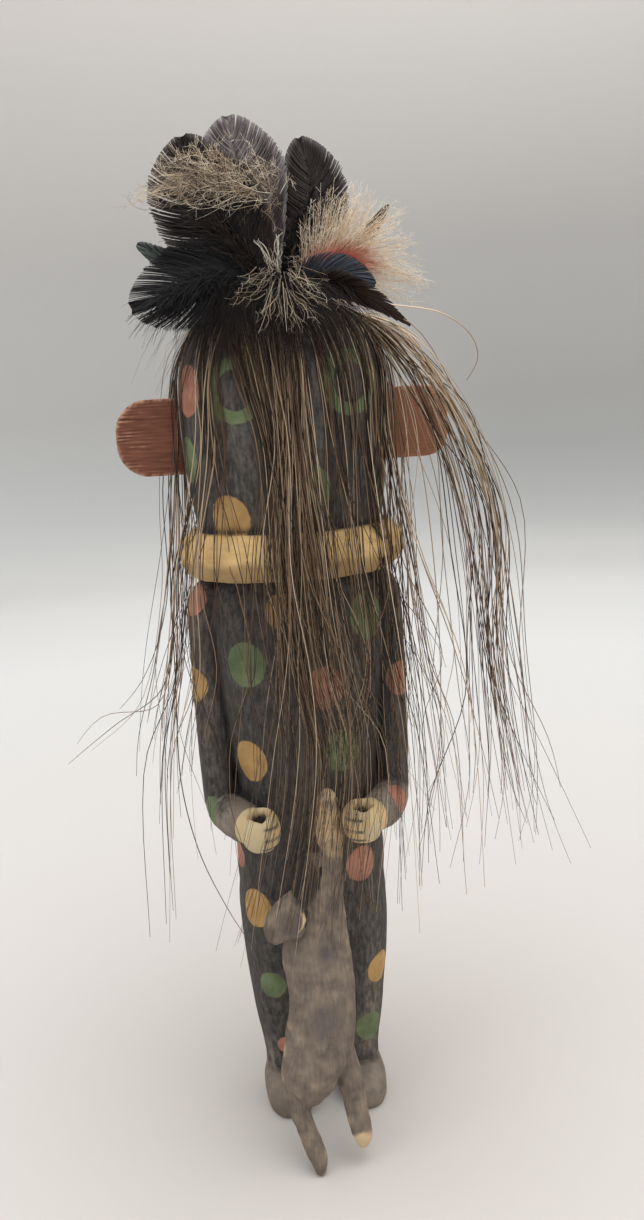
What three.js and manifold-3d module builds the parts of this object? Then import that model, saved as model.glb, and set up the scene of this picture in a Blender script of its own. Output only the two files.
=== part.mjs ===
// Carved and painted wooden doll with board ears, a crest of feathers, long horsehair,
// and a small carved animal that hangs in front between its fists.
// Millimetres, +Z up. The doll faces -Y, and +X is on the viewer's right.
import * as THREE from 'three';
import { mergeVertices } from 'three/addons/utils/BufferGeometryUtils.js';
import Module from 'manifold-3d';

const wasm = await Module();
wasm.setup();

// Heights, stacked from the floor up
const shoeHeight = 11.5;
const legLength = 58.5;
const torsoLength = 95.4;
const ruffHeight = 14.6;
const headHeight = 61.5;

// Widths and depths
const shoeWidth = 15.4;
const shoeLength = 28;
const stance = 22.6; // between the middles of the two shoes
const ankleWidth = 14;
const thighWidth = 22.4;
const hipWidth = 44;
const waistWidth = 41;
const chestWidth = 50;
const torsoDepth = 38;
const shoulderSpan = 62.5; // over both arms
const armWidth = 9.8;
const ruffWidth = 64;
const ruffDepth = 60;
const headWidth = 57.4;
const headDepth = 53;

// Hands
const handRise = 28; // fists' middles above the hips
const handSpan = 28.6; // between the fists' middles
const handShift = -1.3; // both hands are carved a little off centre
const reach = 25; // fists' middles in front of the doll's axis
const fistWidth = 11.8;
const fistHeight = 13.2;
const gripDiameter = 5;
const fingerGroove = 0.8;

// Ears
const earReach = 18; // how far each board stands out of the head
const earHeight = 20.5;
const earThickness = 3.6;
const earRoot = 3; // how far each board goes into the head's side

// Feathers, hair and fits
const vaneThickness = 1.4;
const quillRadius = 0.9;
const lockWidth = 2.6;
const lockThickness = 1.7;
const strayWidth = 1.5;
const hairClearance = 5; // between the fists' fronts and the hair that falls past them
const touchGap = 0.3; // left between pieces that touch
const pawClearance = 0.4; // lowest paw above the floor

// Levels that follow from the heights
const ankleLevel = shoeHeight;
const hipLevel = ankleLevel + legLength;
const shoulderLevel = hipLevel + torsoLength;
const ruffTopLevel = shoulderLevel + ruffHeight;
const crownLevel = ruffTopLevel + headHeight;
const handLevel = hipLevel + handRise;
const earLevel = ruffTopLevel + 0.43 * headHeight;
const armOffset = (shoulderSpan - armWidth) / 2;
const handPlace = (hand) => hand * handSpan / 2 + handShift;
const hairFront = reach + fistWidth / 2 + hairClearance;

const alongX = new THREE.Vector3(1, 0, 0);
const alongY = new THREE.Vector3(0, 1, 0);
const alongZ = new THREE.Vector3(0, 0, 1);

// A closed body through a row of rings that all have the same number of points
function ringBody(rings) {
  const sides = rings[0].length;
  const positions = [];
  const faces = [];
  for (const ring of rings) {
    for (const point of ring) positions.push(point.x, point.y, point.z);
  }
  for (let row = 0; row < rings.length - 1; row++) {
    for (let i = 0; i < sides; i++) {
      const a = row * sides + i;
      const b = row * sides + (i + 1) % sides;
      faces.push(a, b, b + sides, a, b + sides, a + sides);
    }
  }
  const lastRow = (rings.length - 1) * sides;
  const startCentre = rings.length * sides;
  for (const ring of [rings[0], rings[rings.length - 1]]) {
    const centre = new THREE.Vector3();
    for (const point of ring) centre.addScaledVector(point, 1 / sides);
    positions.push(centre.x, centre.y, centre.z);
  }
  for (let i = 0; i < sides; i++) {
    const next = (i + 1) % sides;
    faces.push(startCentre, next, i, startCentre + 1, lastRow + i, lastRow + next);
  }
  const geometry = new THREE.BufferGeometry();
  geometry.setAttribute('position', new THREE.Float32BufferAttribute(positions, 3));
  geometry.setIndex(faces);
  return geometry;
}

// One rounded section: an ellipse that squareness above 2 turns towards a rectangle
function sectionRing(centre, across, through, halfWidth, halfDepth, squareness, sides) {
  const ring = [];
  for (let i = 0; i < sides; i++) {
    const angle = 2 * Math.PI * i / sides;
    const cos = Math.cos(angle);
    const sin = Math.sin(angle);
    const u = Math.sign(cos) * Math.abs(cos) ** (2 / squareness) * halfWidth;
    const v = Math.sign(sin) * Math.abs(sin) ** (2 / squareness) * halfDepth;
    ring.push(centre.clone().addScaledVector(across, u).addScaledVector(through, v));
  }
  return ring;
}

// A body along a smooth path. Each station is [x, y, z, halfWidth, halfDepth],
// and halfWidth is measured along the direction named side.
function limb(stations, { side = alongX, squareness = 2.2, rings = 10, sides = 12, grow = 0 } = {}) {
  const path = new THREE.CatmullRomCurve3(stations.map(([x, y, z]) => new THREE.Vector3(x, y, z)));
  const sizes = new THREE.CatmullRomCurve3(stations.map(([, , , w, d]) => new THREE.Vector3(w, d, 0)));
  const body = [];
  for (let i = 0; i <= rings; i++) {
    const t = i / rings;
    const along = path.getTangent(t);
    const across = side.clone().addScaledVector(along, -side.dot(along)).normalize();
    const through = along.clone().cross(across);
    const size = sizes.getPoint(t).addScalar(grow);
    body.push(sectionRing(path.getPoint(t), across, through, size.x, size.y, squareness, sides));
  }
  return ringBody(body);
}

// A pebble: a rounded block that squareness above 2 turns towards a box
function pebble(centre, half, { squareness = 2.4, rings = 7, sides = 12, grow = 0 } = {}) {
  const body = [];
  for (let i = 0; i <= rings; i++) {
    const rise = -Math.cos(Math.PI * i / rings);
    const level = Math.sign(rise) * Math.abs(rise) ** (2 / squareness);
    const share = Math.max(1 - Math.abs(level) ** squareness, 0.0006) ** (1 / squareness);
    const middle = new THREE.Vector3(centre[0], centre[1], centre[2] + level * (half[2] + grow));
    const width = share * (half[0] + grow);
    const depth = share * (half[1] + grow);
    body.push(sectionRing(middle, alongX, alongY, width, depth, squareness, sides));
  }
  return ringBody(body);
}

function toSolid(geometry) {
  const bare = geometry.clone();
  bare.deleteAttribute('normal');
  bare.deleteAttribute('uv');
  const merged = mergeVertices(bare, 1e-4);
  return new wasm.Manifold(new wasm.Mesh({
    numProp: 3,
    vertProperties: new Float32Array(merged.attributes.position.array),
    triVerts: new Uint32Array(merged.index.array),
  }));
}

function toGeometry(solid) {
  const mesh = solid.getMesh();
  const geometry = new THREE.BufferGeometry();
  geometry.setAttribute('position', new THREE.Float32BufferAttribute(mesh.vertProperties, 3));
  geometry.setIndex(Array.from(mesh.triVerts));
  geometry.computeVertexNormals();
  return geometry;
}

function joined(geometries) {
  return geometries.map(toSolid).reduce((whole, piece) => whole.add(piece));
}

function piece(name, solid, color, roughness) {
  const material = new THREE.MeshStandardMaterial({ color, roughness, metalness: 0 });
  const mesh = new THREE.Mesh(toGeometry(solid), material);
  mesh.name = name;
  return mesh;
}

// The case mask: a tall rounded block, widest at mid height, with a domed crown
function head(grow) {
  const outline = [
    [-0.06, 0.88], [0.03, 0.915], [0.14, 0.95], [0.3, 0.985], [0.46, 1], [0.62, 1],
    [0.75, 0.96], [0.86, 0.86], [0.94, 0.68], [0.985, 0.42], [1, 0.02],
  ];
  const stations = outline.map(([up, share]) => [
    0, 0, ruffTopLevel + up * (headHeight + grow), share * headWidth / 2, share * headDepth / 2,
  ]);
  return limb(stations, { squareness: 2.25, rings: 13, sides: 20, grow });
}

// The ruff: a turned ring with a bevel above and below its rim
function ruff(grow) {
  const profile = [
    [0, 0], [0.86, 0], [0.965, 0.17], [1, 0.42], [0.99, 0.68], [0.88, 1], [0, 1],
  ];
  const points = profile.map(([out, up]) => new THREE.Vector2(
    out * (ruffWidth / 2 + grow), (up - 0.5) * (ruffHeight + 2 * grow)));
  const ring = new THREE.LatheGeometry(points, 24);
  ring.rotateX(Math.PI / 2);
  ring.scale(1, ruffDepth / ruffWidth, 1);
  ring.translate(0, 0, shoulderLevel + ruffHeight / 2);
  return ring;
}

function torso(grow) {
  const outline = [
    [-0.1, 0.44 * hipWidth, 0.34], [0.02, 0.495 * hipWidth, 0.41], [0.18, 0.5 * hipWidth, 0.45],
    [0.36, 0.5 * waistWidth, 0.47], [0.56, 0.25 * (waistWidth + chestWidth), 0.49],
    [0.78, 0.5 * chestWidth, 0.5], [0.92, 0.5 * chestWidth, 0.485], [0.98, 0.46 * chestWidth, 0.44],
    [1.03, 0.38 * chestWidth, 0.38],
  ];
  const stations = outline.map(([up, halfWidth, deep]) => [
    0, 0, hipLevel + up * torsoLength, halfWidth, deep * torsoDepth,
  ]);
  return limb(stations, { squareness: 2.4, rings: 11, sides: 18, grow });
}

// Wood left standing behind the arms, so that the grooves beside them don't go through
function backWeb(grow) {
  const halfWidth = armOffset;
  const depth = 0.2 * torsoDepth;
  const back = 0.22 * torsoDepth;
  const stations = [
    [0, back, handLevel - 0.02 * torsoLength, 0.8 * halfWidth, 0.6 * depth],
    [0, back, handLevel + 0.06 * torsoLength, 0.94 * halfWidth, depth],
    [0, back, handLevel + 0.35 * torsoLength, halfWidth, depth],
    [0, back, shoulderLevel - 0.1 * torsoLength, halfWidth, depth],
    [0, back, shoulderLevel - 0.02 * torsoLength, 0.86 * halfWidth, 0.8 * depth],
  ];
  return limb(stations, { squareness: 2.6, rings: 5, sides: 14, grow });
}

function upperArm(hand, grow) {
  const half = armWidth / 2;
  const deep = 0.18 * torsoDepth;
  const stations = [
    [hand * (armOffset - 4.2), 0, shoulderLevel - 0.6, 0.35 * half, 0.4 * deep],
    [hand * (armOffset - 2.4), 0, shoulderLevel - 2.4, 0.8 * half, 0.8 * deep],
    [hand * (armOffset - 0.6), -0.4, shoulderLevel - 7.5, half, deep],
    [hand * armOffset, -1, shoulderLevel - 0.25 * torsoLength, half, deep],
    [hand * (armOffset + 0.1), -1.4, shoulderLevel - 0.45 * torsoLength, half, 0.96 * deep],
    [hand * (armOffset - 0.2), -2.2, handLevel + 8, 0.95 * half, 0.92 * deep],
    [hand * (armOffset - 0.9), -3.4, handLevel - 0.5, 0.92 * half, 0.8 * deep],
    [hand * (armOffset - 1.8), -4.5, handLevel - 5.4, 0.3 * half, 0.3 * deep],
  ];
  return limb(stations, { squareness: 2.3, rings: 11, sides: 12, grow });
}

function forearm(hand, grow) {
  const half = 0.46 * fistWidth;
  const tall = 0.42 * fistHeight;
  const stations = [
    [hand * (armOffset - 0.4), 3, handLevel + 0.4, 0.4 * half, 0.4 * tall],
    [hand * (armOffset - 0.9), 0, handLevel + 0.2, 0.86 * half, 0.9 * tall],
    [hand * (armOffset - 2.2), -0.3 * reach, handLevel - 0.2, half, tall],
    [hand * (armOffset - 6.2), -0.65 * reach, handLevel - 0.4, half, tall],
    [handPlace(hand), -reach, handLevel, 0.8 * half, 0.8 * tall],
  ];
  return limb(stations, { rings: 6, sides: 10, grow });
}

function fist(hand, grow) {
  const half = [fistWidth / 2, fistWidth / 2 + 0.2, fistHeight / 2];
  return pebble([handPlace(hand), -reach, handLevel], half, { squareness: 2.7, grow });
}

// The upright hole through a fist, where a thing could be held
function gripHole(hand) {
  const hole = new THREE.CylinderGeometry(gripDiameter / 2, gripDiameter / 2, 2 * fistHeight, 20);
  hole.rotateX(Math.PI / 2);
  hole.translate(handPlace(hand), -reach - 0.3, handLevel);
  return hole;
}

// The three grooves between the fingers, on the inner front corner of a fist
function fingerGrooves(hand) {
  const grooves = [];
  const inward = new THREE.Vector3(-hand, -1, 0).normalize();
  const out = 0.56 * fistWidth - fingerGroove;
  for (const up of [0.16, -0.09, -0.31]) {
    const groove = new THREE.BoxGeometry(6, 12, 0.09 * fistWidth * 0.8);
    groove.translate(3 + out, 0, 0);
    groove.rotateZ(Math.atan2(inward.y, inward.x));
    groove.translate(handPlace(hand), -reach, handLevel + up * fistHeight);
    grooves.push(groove);
  }
  return grooves;
}

function leg(hand, grow) {
  const foot = stance / 2;
  const outline = [
    [-0.1, 0.97 * foot, ankleWidth, 0.235], [0.05, 0.97 * foot, ankleWidth, 0.24],
    [0.3, 0.99 * foot, 0.6 * ankleWidth + 0.4 * thighWidth, 0.28],
    [0.6, foot, 0.2 * ankleWidth + 0.8 * thighWidth, 0.35],
    [0.9, foot, thighWidth, 0.4], [1.12, 0.96 * foot, 0.96 * thighWidth, 0.38],
  ];
  const stations = outline.map(([up, out, width, deep]) => [
    hand * out, 0.5, ankleLevel + up * legLength, width / 2, deep * torsoDepth,
  ]);
  return limb(stations, { squareness: 2.3, rings: 8, sides: 16, grow });
}

// A plain round-toed shoe, cut flat below
function shoe(hand, grow) {
  const centre = [hand * stance / 2, -0.12 * shoeLength, 0.36 * shoeHeight];
  const half = [shoeWidth / 2, shoeLength / 2, 0.66 * shoeHeight];
  return pebble(centre, half, { squareness: 2.5, rings: 7, sides: 16, grow });
}

function belowFloor() {
  const floor = new THREE.BoxGeometry(4 * stance, 4 * shoeLength, shoeHeight);
  floor.translate(0, 0, -shoeHeight / 2);
  return floor;
}

function figureSolid(grow) {
  const bodies = [head(grow), ruff(grow), torso(grow), backWeb(grow)];
  for (const hand of [-1, 1]) {
    for (const part of [upperArm, forearm, fist, leg, shoe]) bodies.push(part(hand, grow));
  }
  return joined(bodies);
}

function figure() {
  let carved = figureSolid(0).subtract(toSolid(belowFloor()));
  for (const hand of [-1, 1]) {
    for (const cut of [gripHole(hand), ...fingerGrooves(hand)]) carved = carved.subtract(toSolid(cut));
  }
  return carved;
}

// A board ear, let into the side of the head. The corner radius is a share of its height.
function ear(hand, corner, height, headRoom) {
  const out = headWidth / 2 + earReach;
  const inner = headWidth / 2 - earRoot;
  const radius = corner * height;
  const board = new THREE.Shape();
  board.moveTo(inner, -height / 2);
  board.lineTo(out - radius, -height / 2);
  board.absarc(out - radius, -height / 2 + radius, radius, -Math.PI / 2, 0, false);
  board.absarc(out - radius, height / 2 - radius, radius, 0, Math.PI / 2, false);
  board.lineTo(inner, height / 2);
  board.closePath();
  const cut = { depth: earThickness, bevelEnabled: false, curveSegments: 8 };
  const slab = new THREE.ExtrudeGeometry(board, cut);
  slab.translate(0, 0, -earThickness / 2);
  slab.rotateX(Math.PI / 2);
  if (hand < 0) slab.rotateZ(Math.PI);
  slab.translate(0, 0, earLevel);
  return toSolid(slab).subtract(headRoom);
}

// The hanging animal: its forepaws lie against the belly between the fists, and it leans
// forward from there down to its hind paws. Stations are [x, y from the fists, share of
// the way down, halfWidth, halfDepth].
function hungAnimal(figureRoom) {
  const high = handLevel + 9;
  const low = pawClearance;
  const drop = high - low;
  const at = (x, y, down, halfWidth, halfDepth) => [x, y - reach, high - down * drop, halfWidth, halfDepth];
  const forepaws = [
    at(4, 4.9, 0.003, 1, 1), at(3.9, 4.6, 0.022, 2, 2.4), at(3.7, 3.9, 0.083, 2.8, 3.2),
    at(3.9, 2.8, 0.141, 3.1, 3.2), at(4, 1.7, 0.157, 2.6, 2.2), at(4.1, 0.4, 0.203, 4.1, 3.4),
    at(3.8, -1.5, 0.29, 5.1, 4.1),
  ];
  const trunk = [
    at(3.4, -0.5, 0.229, 3.7, 3.1), at(0.3, -2.3, 0.31, 7.5, 4.7), at(-2.5, -4.3, 0.411, 9.7, 5.7),
    at(-2.1, -5.8, 0.481, 9.5, 6), at(-2, -7.3, 0.55, 9.3, 6.2), at(-3.9, -9.3, 0.654, 9.7, 6.5),
    at(-6.8, -10.7, 0.722, 8.3, 6.3), at(-7.6, -11.5, 0.764, 7.3, 5.4), at(-7.9, -12.1, 0.806, 3.6, 3.2),
  ];
  const shoulder = [
    at(1.8, 0.5, 0.193, 1.6, 1.4), at(-1.9, 0, 0.188, 3.1, 2.9), at(-3.9, -1, 0.224, 3.6, 3.5),
    at(-4.4, -1.9, 0.269, 3.3, 3.1), at(-3.5, -2.9, 0.33, 2, 2),
  ];
  const muzzle = [
    at(-0.8, -2.5, 0.27, 3.1, 2.7), at(-6.5, -5.4, 0.28, 4.9, 4.1), at(-11.2, -6.9, 0.31, 5, 3.9),
    at(-14.1, -7.6, 0.346, 3.3, 2.9), at(-15.1, -8, 0.363, 1.4, 1.4),
  ];
  const ear = [
    at(-4, -5.5, 0.25, 0.9, 0.7), at(-6.1, -8.1, 0.272, 2.5, 1), at(-7.5, -9.5, 0.311, 2.6, 1),
    at(-8.2, -10, 0.346, 1.3, 0.8),
  ];
  const leftLeg = [
    at(-11.1, -11, 0.728, 3.6, 3.4), at(-11.5, -12.5, 0.797, 3.3, 3), at(-10.1, -13.6, 0.85, 2.7, 2.5),
    at(-7.9, -14.6, 0.913, 2.5, 2.2), at(-6.4, -15.6, 0.969, 2.1, 1.9), at(-6.1, -16, 1, 0.9, 0.9),
  ];
  const rightLeg = [
    at(2.4, -9, 0.649, 3, 3.2), at(4.5, -10.7, 0.757, 3.2, 3), at(5.6, -12.2, 0.86, 2.9, 2.7),
    at(6.6, -13.2, 0.921, 2.4, 2.3), at(6.7, -13.6, 0.952, 1, 1),
  ];
  const body = joined([
    limb(forepaws, { rings: 12, sides: 8 }), limb(trunk, { rings: 10, sides: 12, squareness: 2.3 }),
    limb(shoulder, { rings: 6, sides: 8 }), limb(muzzle, { side: alongZ, rings: 7, sides: 8 }),
    limb(ear, { rings: 5, sides: 6 }), limb(leftLeg, { rings: 8, sides: 8 }),
    limb(rightLeg, { rings: 8, sides: 8 }),
  ]);
  return body.subtract(figureRoom);
}

// Feathers. Points are [right, back, up] from the top of the crown, and the vane's
// half widths are given at the same points. side is the direction the vane spreads in.
const feathers = [
  { name: 'feather_broad_black', color: 0x1c1a1b, side: [0.85, 0, 0.5],
    route: [[-3, 0, -1.5], [-6.5, -1.2, 8], [-14, -1.8, 21], [-20, -1.8, 32], [-22.5, -1.6, 43]],
    vane: [0.9, 3, 10.5, 12.2, 4.5] },
  { name: 'feather_tall_grey', color: 0x5a5257, side: [1, 0, 0.2],
    route: [[-1.5, 4.5, -1.5], [-3, 4.8, 12], [-6, 5, 28], [-8, 5, 39], [-9.5, 4.8, 49]],
    vane: [0.9, 3, 9, 10.5, 4] },
  { name: 'feather_upright_dark', color: 0x2b2526, side: [1, 0, 0],
    route: [[3, 8, -1.8], [6, 9.8, 10], [12, 10.8, 24], [12.5, 10.6, 34], [10, 10, 44]],
    vane: [0.9, 3.4, 9.2, 7.6, 3] },
  { name: 'feather_dark_tip', color: 0x35302f, side: [0.4, 0, -0.9],
    route: [[7.5, 6, -1.7], [15, 14, 6], [26, 15.6, 15], [35.5, 15, 26]],
    vane: [0.9, 2.4, 3, 1.2] },
  { name: 'feather_blue_tongue', color: 0x20242b, side: [0, -0.35, 0.94],
    route: [[6.5, -3.2, -1.6], [12, -7, 5.6], [20, -9, 5], [27.5, -9.8, 2.4]],
    vane: [0.9, 3.8, 4.7, 2.6] },
  { name: 'feather_brown_spear', color: 0x2c2422, side: [0, -0.8, 0.6],
    route: [[6, -7, -1.6], [14, -13.4, 1.8], [24, -16.4, -2.8], [34, -15.6, -9.6]],
    vane: [0.9, 3.2, 3.2, 0.8] },
  { name: 'feather_black_brush', color: 0x17181b, side: [0, 0.5, 0.87],
    route: [[-6, -6.5, -1.6], [-13, -10.4, 5.8], [-26, -14.4, 2], [-39, -15, -1.4]],
    vane: [0.9, 7.6, 12, 7.5] },
  { name: 'feather_grey_stub', color: 0x3d4240, side: [0.5, 0, 0.85],
    route: [[-6, -1, -1.6], [-13, 2.2, 7.5], [-25, 3.4, 10.5], [-36.5, 3.6, 17]],
    vane: [0.9, 2, 2.4, 2.2] },
];

// Tufts of down and bristle, each one body of the tuft's outer shape
const tufts = [
  { name: 'down_tan_curls', color: 0xa58d6e,
    route: [[-2.8, -4.4, -1.5], [-6.4, -5.8, 12], [-12, -6.8, 23], [-18, -7, 30], [-24, -6.6, 34]],
    spread: [[0.9, 0.8], [2.2, 1.5], [6, 2.4], [7, 2.6], [3.4, 1.6]] },
  { name: 'down_cream_fan', color: 0xcdbba0,
    route: [[6.5, 1, -1.6], [12, 1.8, 6], [21, 3, 13.5], [31, 3.2, 15], [40.5, 3, 15]],
    spread: [[0.9, 0.9], [7, 3.6], [15, 5.6], [16, 5.6], [9, 3]] },
  { name: 'bristle_white', color: 0xc9c4b4,
    route: [[1.2, -3.6, -1.5], [0, -6.2, 8], [-1.6, -7.2, 15.5]],
    spread: [[0.9, 0.9], [2.2, 1.1], [2.8, 1.2]] },
  { name: 'down_cream_frizz', color: 0x8d7f6c,
    route: [[3.4, -6.4, -1.6], [3.4, -11, 4.8], [3.6, -16.6, 4.6]],
    spread: [[0.9, 0.9], [5.4, 2.8], [5.4, 2.6]] },
];

function onCrown([right, back, up]) {
  return new THREE.Vector3(right, back, crownLevel + up);
}

function feather({ route, vane, side }, headRoom) {
  const stations = route.map((point, i) => [...onCrown(point).toArray(), vane[i],
    i === 0 ? quillRadius : vaneThickness / 2]);
  const blade = limb(stations, {
    side: new THREE.Vector3(...side).normalize(), squareness: 2, rings: 7, sides: 6,
  });
  return toSolid(blade).subtract(headRoom);
}

function tuft({ route, spread }, headRoom) {
  const stations = route.map((point, i) => [...onCrown(point).toArray(), ...spread[i]]);
  const along = onCrown(route[route.length - 1]).sub(onCrown(route[0]));
  const side = new THREE.Vector3().crossVectors(alongY, along).normalize();
  return toSolid(limb(stations, { side, squareness: 2, rings: 6, sides: 8 })).subtract(headRoom);
}

// Horsehair. Each lock leaves the crown at an angle counted from the front towards +X,
// lies over the head, then falls freely through its own points [x, y, z].
const faceY = -ruffDepth / 2 - 2.6;
const locks = [
  { name: 'hair_far_left', angle: -82,
    fall: [[-33.5, -8, shoulderLevel], [-36, -9, handLevel + 28], [-40, -11, hipLevel + 8]] },
  { name: 'hair_left', angle: -54,
    fall: [[-27, -21, shoulderLevel + 3], [-29.5, -26, handLevel + 34], [-30, -28, hipLevel + 4]] },
  { name: 'hair_front_left', angle: -27,
    fall: [[-12, faceY, shoulderLevel + 3], [-9, -hairFront, handLevel + 30],
      [-21, -hairFront - 4, hipLevel + 1]] },
  { name: 'hair_front', angle: -4,
    fall: [[0, faceY - 1, shoulderLevel + 3], [2, -hairFront - 1, handLevel + 30],
      [-4, -hairFront - 9, hipLevel + 6]] },
  { name: 'hair_front_right', angle: 20,
    fall: [[13, faceY, shoulderLevel + 3], [15, -hairFront, handLevel + 24],
      [13, -hairFront - 5, hipLevel + 2]] },
  { name: 'hair_right', angle: 60,
    fall: [[25, -22, shoulderLevel + 3], [29, -26, handLevel + 30], [30, -28, hipLevel + 3]] },
  { name: 'hair_back_right', angle: 150,
    fall: [[15, -faceY, shoulderLevel], [16, 31, handLevel + 30], [17, 29, hipLevel + 10]] },
  { name: 'hair_back_left', angle: -150,
    fall: [[-15, -faceY, shoulderLevel], [-17, 31, handLevel + 30], [-19, 29, hipLevel + 10]] },
];

// Locks that stand away from the head and fall outside it
const flyaways = [
  { name: 'hair_swept_right', angle: 76, width: lockWidth,
    fall: [[33, -12, crownLevel - 15], [46.5, -14, crownLevel - 36], [57, -14, shoulderLevel + 12],
      [63, -13, handLevel + 40], [69, -12, handLevel + 6], [79, -12, hipLevel]] },
  { name: 'hair_swept_middle', angle: 94, width: lockWidth,
    fall: [[33, -5, crownLevel - 17], [40, -9, crownLevel - 36], [46, -9, shoulderLevel + 8],
      [49, -8, handLevel + 34], [51, -8, handLevel + 6], [56, -8, hipLevel - 2]] },
  { name: 'hair_stray_left', angle: -104, width: strayWidth,
    fall: [[-30, 8, crownLevel - 16], [-36, 8, crownLevel - 50], [-37, 6, shoulderLevel - 6],
      [-47, 0, handLevel + 34], [-59, -4, handLevel + 25], [-73, -7, handLevel + 16]] },
];

// Points along the head's own surface that a lock lies on
function overHead(angle, lift, rows) {
  const turn = THREE.MathUtils.degToRad(angle);
  return rows.map(([share, down]) => new THREE.Vector3(
    Math.sin(turn) * (share * headWidth / 2 + lift),
    -Math.cos(turn) * (share * headDepth / 2 + lift),
    crownLevel - down * headHeight + (share < 0.5 ? lift : 0.5 * lift)));
}

function hairLock(points, width, headRoom) {
  const rings = points.length + 5;
  const stations = points.map((point, i) => {
    const taper = i === 0 || i === points.length - 1 ? 0.5 : 1;
    return [...point.toArray(), taper * width / 2, taper * Math.min(lockThickness, width) / 2];
  });
  const outward = points[2].clone().setZ(0).normalize();
  const side = new THREE.Vector3(-outward.y, outward.x, 0);
  return toSolid(limb(stations, { side, squareness: 2, rings, sides: 5 })).subtract(headRoom);
}

function fallingLock({ angle, fall }, headRoom) {
  const lift = touchGap + lockThickness / 2;
  const rows = [[0.42, 0.015], [0.68, 0.06], [0.88, 0.15], [1, 0.3], [1.02, 0.55], [1.01, 0.8]];
  const points = overHead(angle, lift, rows);
  points.push(...fall.map((point) => new THREE.Vector3(...point)));
  return hairLock(points, lockWidth, headRoom);
}

function flyawayLock({ angle, width, fall }, headRoom) {
  const lift = touchGap + lockThickness / 2;
  const points = overHead(angle, lift, [[0.42, 0.015], [0.68, 0.055]]);
  points.push(...fall.map((point) => new THREE.Vector3(...point)));
  return hairLock(points, width, headRoom);
}

function doll() {
  const group = new THREE.Group();
  const room = figureSolid(touchGap);
  const headRoom = joined([head(touchGap), ruff(touchGap)]);
  group.add(piece('figure', figure(), 0x3a3733, 0.85));
  group.add(piece('ear_left', ear(-1, 0.42, earHeight * 1.03, headRoom), 0x8a5040, 0.9));
  group.add(piece('ear_right', ear(1, 0.34, earHeight * 0.97, headRoom), 0x8a5040, 0.9));
  group.add(piece('hung_animal', hungAnimal(room), 0x7b7167, 0.9));
  for (const one of feathers) group.add(piece(one.name, feather(one, headRoom), one.color, 0.6));
  for (const one of tufts) group.add(piece(one.name, tuft(one, headRoom), one.color, 0.9));
  for (const lock of locks) group.add(piece(lock.name, fallingLock(lock, headRoom), 0x4a3d30, 0.5));
  for (const lock of flyaways) group.add(piece(lock.name, flyawayLock(lock, headRoom), 0x6b5842, 0.5));
  return group;
}

// The origin is under the middle of the whole doll, on the floor it stands on
const model = doll();
const reachBox = new THREE.Box3().setFromObject(model);
const middle = reachBox.getCenter(new THREE.Vector3());
model.position.set(-middle.x, -middle.y, -reachBox.min.z);

export default model;
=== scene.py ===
import math

import bpy
import numpy as np
from mathutils import Matrix, Vector
from mathutils.bvhtree import BVHTree


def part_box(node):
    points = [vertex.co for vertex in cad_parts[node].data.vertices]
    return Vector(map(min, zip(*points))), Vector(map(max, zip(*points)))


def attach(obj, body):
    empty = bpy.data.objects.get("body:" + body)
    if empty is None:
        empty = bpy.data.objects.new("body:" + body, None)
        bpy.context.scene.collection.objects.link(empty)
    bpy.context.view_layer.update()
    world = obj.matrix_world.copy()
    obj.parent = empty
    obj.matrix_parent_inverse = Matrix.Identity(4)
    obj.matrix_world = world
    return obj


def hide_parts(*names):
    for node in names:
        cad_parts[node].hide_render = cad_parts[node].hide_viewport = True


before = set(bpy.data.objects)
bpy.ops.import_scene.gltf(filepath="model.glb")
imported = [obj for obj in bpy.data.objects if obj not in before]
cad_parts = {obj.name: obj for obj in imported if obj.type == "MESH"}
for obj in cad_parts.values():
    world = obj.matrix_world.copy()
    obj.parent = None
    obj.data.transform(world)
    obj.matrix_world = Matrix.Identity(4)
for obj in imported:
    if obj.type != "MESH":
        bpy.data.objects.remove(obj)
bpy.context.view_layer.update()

mm = 0.001
figureLow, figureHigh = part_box("figure")
ruffHalfDepth = 30.0  # the ruff's rim is what reaches furthest back
axis = np.array([(figureLow.x + figureHigh.x) / 2, figureHigh.y - ruffHalfDepth * mm, 0.0])
tall = figureHigh.z / mm
level = {"ankle": 0.0476 * tall, "hip": 0.2899 * tall, "hand": 0.4058 * tall, "shoulder": 0.6849 * tall,
    "ruffTop": 0.7453 * tall, "crown": tall}
torsoLong = level["shoulder"] - level["hip"]
headTall = tall - level["ruffTop"]
alongX, alongY, alongZ = np.eye(3)


# Everything below is laid out in millimetres from the doll's own axis, and moved here to its place
def place(points):
    return np.asarray(points, float) * mm + axis


def laidOut(spot):
    return (np.array(spot) - axis) / mm


def unit(rows):
    return rows / np.maximum(np.linalg.norm(rows, axis=-1, keepdims=True), 1e-9)


# Camera, at the photograph's own viewing angle: focal, longSide and shiftRight are in pixels
camera = {"azimuth": -5.0, "down": 11.5, "roll": 3.6, "distance": 300.0, "height": 215.5,
          "focal": 1050.0, "longSide": 1220.0, "shiftRight": 27.0}


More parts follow.
